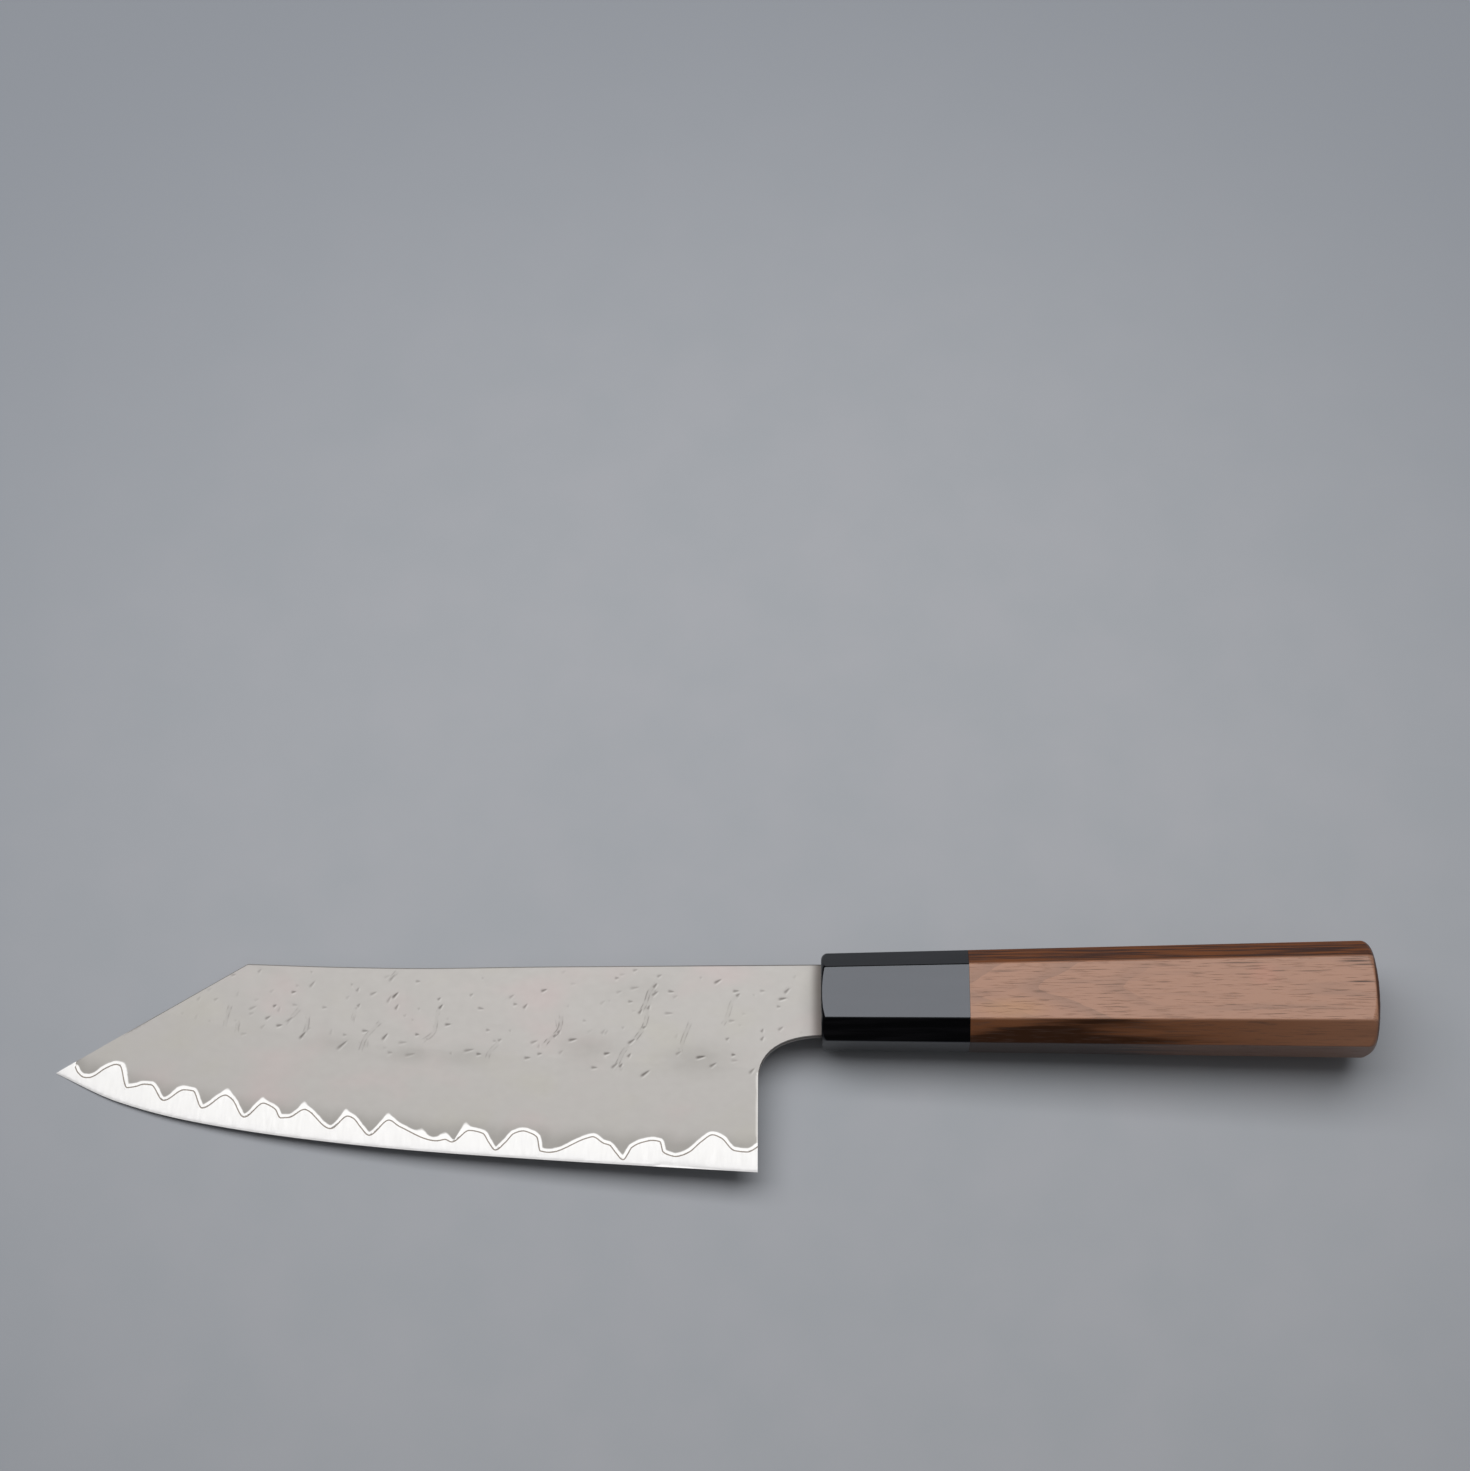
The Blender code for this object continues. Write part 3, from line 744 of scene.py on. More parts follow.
@dataclass(frozen=True)
class FloorBoard(Finish):
    """A matte painted board: pale bluish grey with faint patches, and painted falloff of light away
    from its middle.
    """

    roughness: float = 0.8
    gloss: float = 0.2  # specular level
    pale: str = "#A1A3A8"
    patch: str = "#9EA1A6"
    # Painted falloff of light: the tone away from the middle
    outer: str = "#8D9198"
    patch_size: float = 45.0  # per metre
    patch_levels: Pair = (0.35, 0.65)
    middle: Triple = (0.02, 0.01, 0.0)
    even: float = 0.1  # how far the middle tone reaches before the painted falloff begins, in metres
    painted_falloff_start: float = 0.36  # where the painted falloff's outer tone starts

    def material(self) -> bpy.types.Material:
        """Build the node material.

        Returns:
            The material.
        """
        paint = Recipe(self.name)
        place = add_node(paint.tree, "TexCoord", {}).outputs["Object"]
        inputs = {"Vector": place, "Scale": self.patch_size, "Detail": 4.0}
        patches = add_node(paint.tree, "TexNoise", inputs).outputs["Fac"]
        patched = paint.blend(paint.ramp(patches, *self.patch_levels), self.pale, self.patch)
        inputs = {0: place, 1: self.middle}
        away = add_node(paint.tree, "VectorMath", inputs, operation="DISTANCE").outputs["Value"]
        # Painted falloff of light: darker away from the middle
        colour = paint.blend(paint.step(away, self.even, self.painted_falloff_start), patched, self.outer)
        return paint.serve(
            {
                "Base Color": colour,
                "Roughness": self.roughness,
                "Specular IOR Level": self.gloss,
            }
        )


def merged_copy(node: str) -> bmesh.types.BMesh:
    """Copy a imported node's mesh and join its loose triangles.

    Args:
        node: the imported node's name.

    Returns:
        The copy, in knife millimetres.
    """
    shape = bmesh.new()
    shape.from_mesh(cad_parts[node].data)
    bmesh.ops.remove_doubles(shape, verts=shape.verts, dist=SAME_POINT)
    for edge in shape.edges:
        edge.smooth = True
    for face in shape.faces:
        face.smooth = True
    bmesh.ops.transform(shape, matrix=REST.to_frame().inverted(), verts=shape.verts)
    return shape


def stand_in(
    shape: bmesh.types.BMesh, name: str, node: str, sharp: float
) -> bpy.types.Object:
    """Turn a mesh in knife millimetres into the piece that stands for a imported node.

    Args:
        shape: the mesh, which is freed.
        name: the piece's name.
        node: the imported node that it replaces.
        sharp: edges that turn by more than this many degrees stay sharp.

    Returns:
        The piece, riding on the knife's one body.
    """
    bmesh.ops.transform(shape, matrix=REST.to_frame(), verts=shape.verts)
    mesh = bpy.data.meshes.new(name)
    shape.to_mesh(mesh)
    shape.free()
    if "custom_normal" in mesh.attributes:
        mesh.attributes.remove(mesh.attributes["custom_normal"])
    mesh.shade_smooth()
    mesh.set_sharp_from_angle(angle=math.radians(sharp))
    piece = bpy.data.objects.new(name, mesh)
    bpy.context.collection.objects.link(piece)
    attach(piece, "root")
    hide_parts(node)
    return piece


def slice_fine(
    shape: bmesh.types.BMesh, faces: list[bmesh.types.BMFace], axis: int, pitch: float
) -> list[bmesh.types.BMFace]:
    """Halve faces again and again, with planes square to an axis, down to a pitch.

    Args:
        shape: the mesh.
        faces: the faces to cut.
        axis: 0 for planes across X, 1 across Y.
        pitch: the planes' spacing in millimetres.

    Returns:
        The faces that the cut ones have become.
    """
    margin = pitch / 4  # no cut comes nearer than this to either end of a group
    normal = Vector((0.0, 0.0, 0.0))
    normal[axis] = 1.0
    pending, done = [faces], []
    while pending:
        group = pending.pop()
        places = [vert.co[axis] for face in group for vert in face.verts]
        low, high = min(places), max(places)
        plane = round((low + high) / 2 / pitch) * pitch
        if not low + margin < plane < high - margin:
            done += group
            continue
        edges = {edge for face in group for edge in face.edges}
        verts = {vert for face in group for vert in face.verts}
        made = bmesh.ops.bisect_plane(
            shape,
            geom=[*group, *edges, *verts],
            dist=ON_CUT,
            plane_co=normal * plane,
            plane_no=normal,
        )
        parts = [g for g in made["geom"] if isinstance(g, bmesh.types.BMFace)]
        below = [f for f in parts if f.calc_center_median()[axis] < plane]
        above = [f for f in parts if f.calc_center_median()[axis] >= plane]
        pending += [half for half in (below, above) if half]
    return done


def refine(shape: bmesh.types.BMesh, faces: list[bmesh.types.BMFace], cuts: int) -> None:
    """Divide faces into small triangles.

    Args:
        shape: the mesh.
        faces: the faces to divide.
        cuts: how many cuts go through each side.
    """
    made = bmesh.ops.triangulate(shape, faces=faces)
    edges = list({edge for face in made["faces"] for edge in face.edges})
    bmesh.ops.subdivide_edges(shape, edges=edges, cuts=cuts, use_grid_fill=True)


def carry(mesh: bpy.types.Mesh, name: Carried, values: np.ndarray) -> None:
    """Store one value per point on a mesh."""
    stored = mesh.attributes.new(name.value, "FLOAT", "POINT")
    stored.data.foreach_set("value", values.astype(np.float32))


def points_of(mesh: bpy.types.Mesh) -> np.ndarray:
    """Read a mesh's points.

    Args:
        mesh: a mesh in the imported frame.

    Returns:
        One row for each point, in knife millimetres.
    """
    flat = np.empty(len(mesh.vertices) * 3)
    mesh.vertices.foreach_get("co", flat)
    back = np.array(REST.to_frame().inverted())
    return flat.reshape(-1, 3) @ back[:3, :3].T + back[:3, 3]


def line_distance(points: np.ndarray, line: np.ndarray, reach: float = math.inf) -> np.ndarray:
    """The distance from points to a line of straight pieces, in the blade's plane.

    Args:
        points: rows of x and y.
        line: rows of x and y, in order along the line.
        reach: the greatest distance that matters; farther points get this value.

    Returns:
        One distance for each point.
    """
    order = np.argsort(points[:, 0])
    places = points[order]
    nearest = np.full(len(points), reach)
    for start, end in zip(line, line[1:]):
        low, high = min(start[0], end[0]) - reach, max(start[0], end[0]) + reach
        first, last = np.searchsorted(places[:, 0], (low, high))
        here = slice(first, last)
        run = end - start
        share = np.clip((places[here] - start) @ run / max(run @ run, NO_LENGTH), 0.0, 1.0)
        foot = start + np.outer(share, run)
        nearest[here] = np.minimum(nearest[here], np.hypot(*(places[here] - foot).T))
    distances = np.empty(len(points))
    distances[order] = nearest
    return distances


def off_neighbours(line: np.ndarray) -> np.ndarray:
    """How far each inner point of a line stands above the line through its two neighbours.

    Args:
        line: rows of x and y, with x rising.

    Returns:
        One value for each inner point.
    """
    before, middle, after = line[:-2], line[1:-1], line[2:]
    share = (middle[:, 0] - before[:, 0]) / (after[:, 0] - before[:, 0])
    return middle[:, 1] - before[:, 1] - share * (after[:, 1] - before[:, 1])


def without_strays(line: np.ndarray, way: int, slack: float) -> np.ndarray:
    """Drop the points that stand off a smooth line, the farthest one first.

    Args:
        line: rows of x and y, with x rising.
        way: 1 if stray points stand above the line, -1 if they stand below it.
        slack: points nearer than this to the line through their neighbours stay.

    Returns:
        The rows that stay.
    """
    off = way * off_neighbours(line)
    while off.max() > slack:
        line = np.delete(line, off.argmax() + 1, axis=0)
        off = way * off_neighbours(line)
    return line


def corners_of(line: np.ndarray, straight: float) -> np.ndarray:
    """A line's corners, without the points between them.

    Args:
        line: rows of x and y, with x rising.
        straight: points nearer than this to their neighbours' line are left out.

    Returns:
        The rows that stay.
    """
    bent = np.abs(off_neighbours(line)) > straight
    return line[np.concatenate([[True], bent, [True]])]


def round_through(places: np.ndarray, line: np.ndarray) -> np.ndarray:
    """Draw a round curve through a line's points, level where the line turns up or down.

    Args:
        places: where along X the curve is wanted.
        line: rows of x and y, with x rising.

    Returns:
        The curve's height at each place.
    """
    x, y = line.T
    slopes = np.diff(y) / np.diff(x)
    before, after = slopes[:-1], slopes[1:]
    same_way = before * after > 0
    mean = np.where(same_way, 2 * before * after / np.where(same_way, before + after, 1.0), 0.0)
    tangents = np.concatenate([slopes[:1], mean, slopes[-1:]])
    at = np.clip(np.searchsorted(x, places) - 1, 0, len(x) - 2)
    span = x[at + 1] - x[at]
    share = (places - x[at]) / span
    rest = 1 - share
    level = y[at] * (1 + 2 * share) * rest**2 + y[at + 1] * (3 - 2 * share) * share**2
    return level + span * share * rest * (tangents[at] * rest - tangents[at + 1] * share)


def rounded_line(corners: Line) -> np.ndarray:
    """Cut a line's corners off twice, so that it bends softly.

    Args:
        corners: the line's corners, in order.

    Returns:
        Rows of x and y.
    """
    line = np.array(corners, float)
    cut = 0.25  # how much of each side goes at either end
    for _ in range(2):
        near = line[:-1] * (1 - cut) + line[1:] * cut
        far = line[:-1] * cut + line[1:] * (1 - cut)
        line = np.vstack([line[:1], np.stack([near, far], 1).reshape(-1, 2), line[-1:]])
    return line


def soft_step(values: np.ndarray, start: float, end: float) -> np.ndarray:
    """0 up to the start, 1 from the end on, and a smooth rise between them."""
    share = np.clip((values - start) / (end - start), 0.0, 1.0)
    return share * share * (3 - 2 * share)


@dataclass(frozen=True)
class Grind:
    """How thick the blade is from edge to flat, in millimetres."""

    edge: float = 0.05
    honed: float = 0.24  # where the honed edge meets the bevel
    honed_height: float = 0.5
    bevel_height: float = 25.0
    belly: float = 0.12  # how much the bevel swells
    flat_at_neck: float = 3.0
    flat_at_corner: float = 1.6
    corner: float = -143.1  # where the spine is clipped
    weld_gap: float = 0.02

    def half(self, x: np.ndarray, height: np.ndarray) -> np.ndarray:
        """Half the blade's thickness.

        Args:
            x: places along the knife.
            height: heights above the cutting edge there.

        Returns:
            One half thickness for each place.
        """
        flat = self.flat_at_neck + (self.flat_at_corner - self.flat_at_neck) * x / self.corner
        share = (height - self.honed_height) / (self.bevel_height - self.honed_height)
        share = np.clip(share, 0.0, 1.0)
        share = share * (1 + self.belly * (1 - share))
        bevel = self.honed + share * (flat - self.honed)
        low = np.clip(height / self.honed_height, 0.0, 1.0)
        honing = self.edge + low * (self.honed - self.edge)
        return np.where(height < self.honed_height, honing, bevel) / 2


@dataclass(frozen=True)
class Outline:
    """The blade's lines as they are packed, in knife millimetres: edge, spine and weld."""

    heel: float = -15.5
    highest_crest: float = 10.0  # of the weld line above the edge, mm
    edge: np.ndarray = field(init=False)
    spine: np.ndarray = field(init=False)
    weld: np.ndarray = field(init=False)
    curve: np.ndarray = field(init=False)  # the weld line, drawn round through the same points
    curve_step: float = 0.25
    bend_room: Pair = (3.0, 0.5)  # how far the steel goes round with the weld line
    edge_room: Pair = (0.5, 1.5)  # above the edge, which stays as packed
    edge_slack: float = 0.08
    spine_slack: float = 0.5
    straight: float = 0.15  # points nearer than this to their neighbours' line are left out
    same_station: float = 0.02
    same_depth: float = 0.004
    eased: float = 0.36  # the rounding below the spine, which stays as packed
    weld_reach: float = 8.0  # distances from the weld line are worked out this far

    def __post_init__(self) -> None:
        """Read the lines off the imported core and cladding."""
        core, cladding = self.stations("core_steel"), self.stations("left_cladding")
        # A station lacks its lowest or highest point where flat faces were joined across it
        edge = without_strays(np.array([(x, min(ys)) for x, ys in core]), 1, self.edge_slack)
        spine = without_strays(np.array([(x, max(ys)) for x, ys in core]), -1, self.spine_slack)
        object.__setattr__(self, "edge", edge)
        object.__setattr__(self, "spine", spine)
        weld = np.array([(x, min(ys)) for x, ys in cladding])
        weld = weld[self.edge_height(weld) < self.highest_crest]
        object.__setattr__(self, "weld", weld)
        places = np.append(np.arange(weld[0, 0], weld[-1, 0], self.curve_step), weld[-1, 0])
        drawn = round_through(places, corners_of(weld, self.straight))
        object.__setattr__(self, "curve", np.stack([places, drawn], 1))

    def stations(self, node: str) -> list[tuple[float, list[float]]]:
        """The heights of a node's points at each of its cross-sections ahead of the heel.

        Args:
            node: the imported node's name.

        Returns:
            Pairs of a place along the knife and the heights there, from tip to heel.
        """
        points = points_of(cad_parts[node].data)
        points = points[points[:, 0] < self.heel + self.same_station]
        points = points[np.argsort(points[:, 0])]
        splits = np.flatnonzero(np.diff(points[:, 0]) > self.same_station) + 1
        rows = [(float(row[0, 0]), list(row[:, 1])) for row in np.split(points, splits)]
        return [(x, ys) for x, ys in rows if max(ys) - min(ys) > self.same_station]

    def edge_height(self, points: np.ndarray) -> np.ndarray:
        """How far points lie above the cutting edge, in millimetres."""
        return points[:, 1] - np.interp(points[:, 0], *self.edge.T)

    def regrind(self, shape: bmesh.types.BMesh, grind: Grind) -> None:
        """Draw a layer's weld line round, and lay its surfaces on the grind's even curve.

        Args:
            shape: the layer's mesh in knife millimetres, whose weld line has straight flanks.
            grind: the blade's thickness.
        """
        low, high = self.weld[0, 0], self.weld[-1, 0]
        verts = [v for v in shape.verts if low < v.co.x < high]
        points = np.array([v.co for v in verts])
        x, y, z = points.T
        edge = np.interp(x, *self.edge.T)
        packed, drawn = np.interp(x, *self.weld.T), np.interp(x, *self.curve.T)
        near = soft_step(np.abs(y - packed), *self.bend_room)
        near *= soft_step(y - edge, *self.edge_room)
        moved = y + (drawn - packed) * near
        surface = grind.half(x, moved - edge)
        plane = grind.half(x, drawn - edge)
        side, depth = np.sign(z), np.abs(z)
        flat_side = depth < grind.half(x, packed - edge) + self.same_depth
        eased = np.interp(x, *self.spine.T) - y < self.eased
        is_core = z.min() < 0 < z.max()
        if is_core:
            laid = np.minimum(surface, plane - grind.weld_gap)
        else:
            laid = np.where(flat_side, plane, np.where(eased, depth, surface))
        for vert, height, level in zip(verts, moved, side * laid):
            vert.co.yz = height, level

    def below_weld(self, points: np.ndarray) -> np.ndarray:
        """How far points lie below the weld line.

        Args:
            points: rows of x, y and z.

        Returns:
            Millimetres, one value for each point; negative above the line.
        """
        side = np.sign(np.interp(points[:, 0], *self.curve.T) - points[:, 1])
        side[points[:, 0] < self.curve[0, 0]] = 1.0
        return side * line_distance(points[:, :2], self.curve, self.weld_reach)


@dataclass(frozen=True)
class Pock:
    """A short pit that the hammer left, with scale in it; places and lengths in millimetres."""

    x: float
    y: float
    length: float
    lean: float  # degrees from the blade's line
    dark: float  # 0 bare to 1 black


@dataclass(frozen=True)
class Fold:
    """A long soft crease, through a few places in the blade's plane, in millimetres."""

    dark: float
    corners: Line


@dataclass(frozen=True)
class Smear:
    """A soft smoky patch: its middle and its reach either way, in millimetres."""

    x: float
    y: float
    reach_x: float
    reach_y: float
    dark: float


@dataclass(frozen=True)
class Flare:
    """A place where the white rim along the weld stands thicker, or thinner."""

    share: float  # of the blade, from the heel
    extra: float  # millimetres
    reach: float  # millimetres either way


# The marks that show most on the visible side, placed to half a millimetre
POCKS = (
    Pock(-146.5, 7.5, 1.2, 10, 0.35),
    Pock(-140.0, 8.5, 1.2, 45, 0.35),
    Pock(-141.0, -1.0, 2.0, 25, 0.35),
    Pock(-137.0, -3.5, 1.5, 30, 0.6),
    Pock(-135.5, -0.5, 1.0, 30, 0.7),
    Pock(-134.0, -5.5, 1.5, 10, 0.7),
    Pock(-131.5, -4.0, 2.0, 40, 0.45),
    Pock(-131.0, 3.0, 1.2, 10, 0.7),
    Pock(-128.0, -8.0, 2.2, 50, 0.8),
    Pock(-126.5, 5.0, 2.0, 50, 0.45),
    Pock(-123.0, -1.0, 1.2, 0, 0.35),
    Pock(-118.0, -10.5, 3.0, 40, 0.65),
    Pock(-117.5, -8.0, 1.0, 0, 0.35),
    Pock(-115.0, 3.5, 1.2, 60, 0.45),
    Pock(-114.5, -0.5, 1.0, 50, 0.5),
    Pock(-112.5, -7.0, 1.5, 0, 0.6),
    Pock(-111.0, 2.5, 1.8, 25, 0.45),
    Pock(-107.5, -8.5, 2.0, 50, 0.75),
    Pock(-107.0, 1.0, 2.0, 60, 0.4),
    Pock(-106.5, 6.5, 2.2, 50, 0.45),
    Pock(-106.0, -12.5, 1.2, 0, 0.35),
    Pock(-105.5, 2.0, 2.0, 45, 0.9),
    Pock(-105.0, -1.0, 1.5, 60, 0.6),
    Pock(-103.0, -10.0, 2.0, 5, 0.35),
    Pock(-101.0, -13.0, 2.5, 10, 0.35),
    Pock(-100.0, 5.5, 1.2, 0, 0.45),
    Pock(-99.5, -8.0, 1.0, 0, 0.65),
    Pock(-94.5, 1.0, 1.0, 40, 0.55),
    Pock(-94.0, -1.0, 1.5, 50, 0.8),
    Pock(-92.0, -5.5, 1.5, 5, 0.7),
    Pock(-86.5, -12.0, 2.5, 10, 0.5),
    Pock(-86.5, 2.0, 1.0, 30, 0.4),
    Pock(-84.0, -13.0, 1.2, 0, 0.7),
    Pock(-84.0, -1.5, 1.5, -10, 0.5),
    Pock(-82.0, -7.0, 1.0, 0, 0.45),
    Pock(-79.0, -9.5, 1.0, 30, 0.45),
    Pock(-76.5, 1.5, 1.5, 35, 0.35),
    Pock(-75.5, -0.5, 1.0, 0, 0.5),
    Pock(-73.0, -1.0, 1.5, 50, 0.6),
    Pock(-72.0, -14.0, 1.5, 5, 0.6),
    Pock(-70.5, -10.0, 1.8, 20, 0.45),
    Pock(-69.0, -13.0, 1.2, 10, 0.55),
    Pock(-68.5, 3.0, 1.5, 20, 0.75),
    Pock(-65.5, -8.5, 1.0, 50, 0.6),
    Pock(-64.5, -7.5, 1.0, 55, 0.6),
    Pock(-61.0, -9.5, 2.0, 10, 0.8),
    Pock(-55.5, -16.5, 1.5, 0, 0.6),
    Pock(-52.5, -13.0, 1.5, 10, 0.85),
    Pock(-50.5, 6.0, 1.0, 5, 0.5),
    Pock(-50.5, -16.0, 2.0, 40, 0.6),
    Pock(-49.0, -16.0, 1.2, 50, 0.7),
    Pock(-47.0, 0.0, 1.2, 0, 0.5),
    Pock(-47.0, -13.5, 1.2, 50, 0.65),
    Pock(-46.5, -10.0, 2.0, 35, 0.75),
    Pock(-46.0, 3.5, 2.2, 10, 0.35),
    Pock(-46.0, 8.0, 1.2, 15, 0.4),
    Pock(-44.5, -2.5, 1.5, 55, 0.7),
    Pock(-43.5, -6.5, 1.0, 30, 0.6),
    Pock(-43.0, -18.0, 2.5, 35, 0.85),
    Pock(-42.5, -1.5, 1.2, 65, 0.6),
    Pock(-41.0, 2.0, 1.8, 35, 0.6),
    Pock(-41.0, 4.0, 1.5, 50, 0.7),
    Pock(-40.0, 6.5, 1.2, 25, 0.45),
    Pock(-37.5, -3.0, 2.0, 0, 0.4),
    Pock(-37.0, 2.5, 1.5, -5, 0.6),
    Pock(-35.0, -13.0, 1.5, 30, 0.4),
    Pock(-29.5, -14.0, 2.2, 10, 0.95),
    Pock(-26.5, -16.0, 1.8, 30, 0.65),
    Pock(-25.5, 5.0, 2.0, 30, 0.75),
    Pock(-23.0, -9.5, 1.0, 30, 0.5),
    Pock(-22.0, -5.0, 1.5, 5, 0.35),
    Pock(-21.5, -13.5, 1.0, 0, 0.8),
    Pock(-21.0, 2.5, 1.5, 5, 0.65),
    Pock(-20.5, 1.5, 1.2, 35, 0.65),
    Pock(-17.0, -17.5, 1.8, 45, 0.55),
    Pock(-14.5, -9.5, 1.2, 55, 0.6),
    Pock(-14.5, -7.5, 1.0, 60, 0.55),
    Pock(-14.5, 2.5, 1.2, 0, 0.4),
    Pock(-10.5, -1.5, 1.0, 0, 0.45),
    Pock(-10.0, -7.0, 1.5, 35, 0.5),
    Pock(-9.5, 0.5, 2.0, 10, 0.8),
    Pock(-8.5, 2.5, 1.8, 45, 0.65),
)

FOLDS = (
    Fold(0.45, ((-146.5, 0.0), (-147.5, -3.5), (-147.5, -6.5))),
    Fold(0.5, ((-144.0, -3.5), (-144.5, -5.5), (-144.5, -7.5))),
    Fold(0.3, ((-129.0, -1.0), (-131.0, -3.5), (-133.0, -5.5))),
    Fold(0.45, ((-127.0, -3.0), (-127.0, -6.5), (-128.5, -9.0))),
    Fold(0.4, ((-105.0, 8.5), (-107.0, 6.0))),
    Fold(0.2, ((-115.0, -1.0), (-115.5, -3.0), (-116.0, -5.5))),
    Fold(0.4, ((-108.5, -4.5), (-111.0, -7.0), (-112.5, -9.0), (-113.5, -12.5))),
    Fold(0.35, ((-112.0, -9.0), (-112.0, -12.0))),
    Fold(0.4, ((-93.5, -0.5), (-95.0, -3.0), (-95.0, -6.0), (-95.5, -8.0), (-98.5, -10.0))),
    Fold(0.35, ((-79.0, -10.0), (-81.5, -12.5), (-82.0, -14.5))),
    Fold(0.6, ((-64.0, -3.0), (-64.0, -5.5), (-64.5, -7.5), (-67.0, -9.5), (-68.0, -11.0))),
    Fold(0.35, ((-65.0, -4.0), (-64.5, -7.0))),
    Fold(0.6, ((-40.5, 5.0), (-42.5, 2.5), (-43.0, 0.0), (-44.5, -3.0))),
    Fold(0.5, ((-41.0, 3.5), (-42.5, 0.0), (-43.0, -6.0), (-46.0, -10.0))),
    Fold(0.5, ((-46.5, -10.5), (-48.5, -12.5), (-49.5, -15.0), (-51.0, -18.0))),
    Fold(0.4, ((-32.0, -5.0), (-33.0, -7.5), (-34.0, -10.0), (-34.5, -13.0))),
    Fold(0.35, ((-20.0, 2.0), (-22.0, 0.0), (-23.0, -4.0), (-24.5, -6.5))),
    Fold(0.4, ((-7.5, 4.0), (-9.5, 1.5))),
)

SMEARS = (
    Smear(-101.0, -13.0, 5.0, 2.0, 0.5),
    Smear(-87.0, -13.5, 7.0, 2.5, 0.35),
    Smear(-57.0, -11.5, 7.0, 3.5, 0.45),
    Smear(-30.0, -14.5, 8.0, 3.5, 0.6),
    Smear(-44.0, 3.0, 9.0, 3.0, 0.2),
    Smear(-120.0, -10.0, 6.0, 2.0, 0.25),
)

FLARES = (
    Flare(0.90, 0.3, 1.5),
    Flare(0.82, 0.3, 1.5),
    Flare(0.75, 0.8, 1.0),
    Flare(0.70, 0.5, 0.9),
    Flare(0.64, 1.0, 1.0),
    Flare(0.58, 0.8, 0.9),
    Flare(0.52, 0.8, 0.9),
    Flare(0.47, 0.9, 1.2),
    Flare(0.44, 0.7, 1.6),
    Flare(0.425, -0.5, 0.5),
    Flare(0.41, 1.2, 1.0),
)


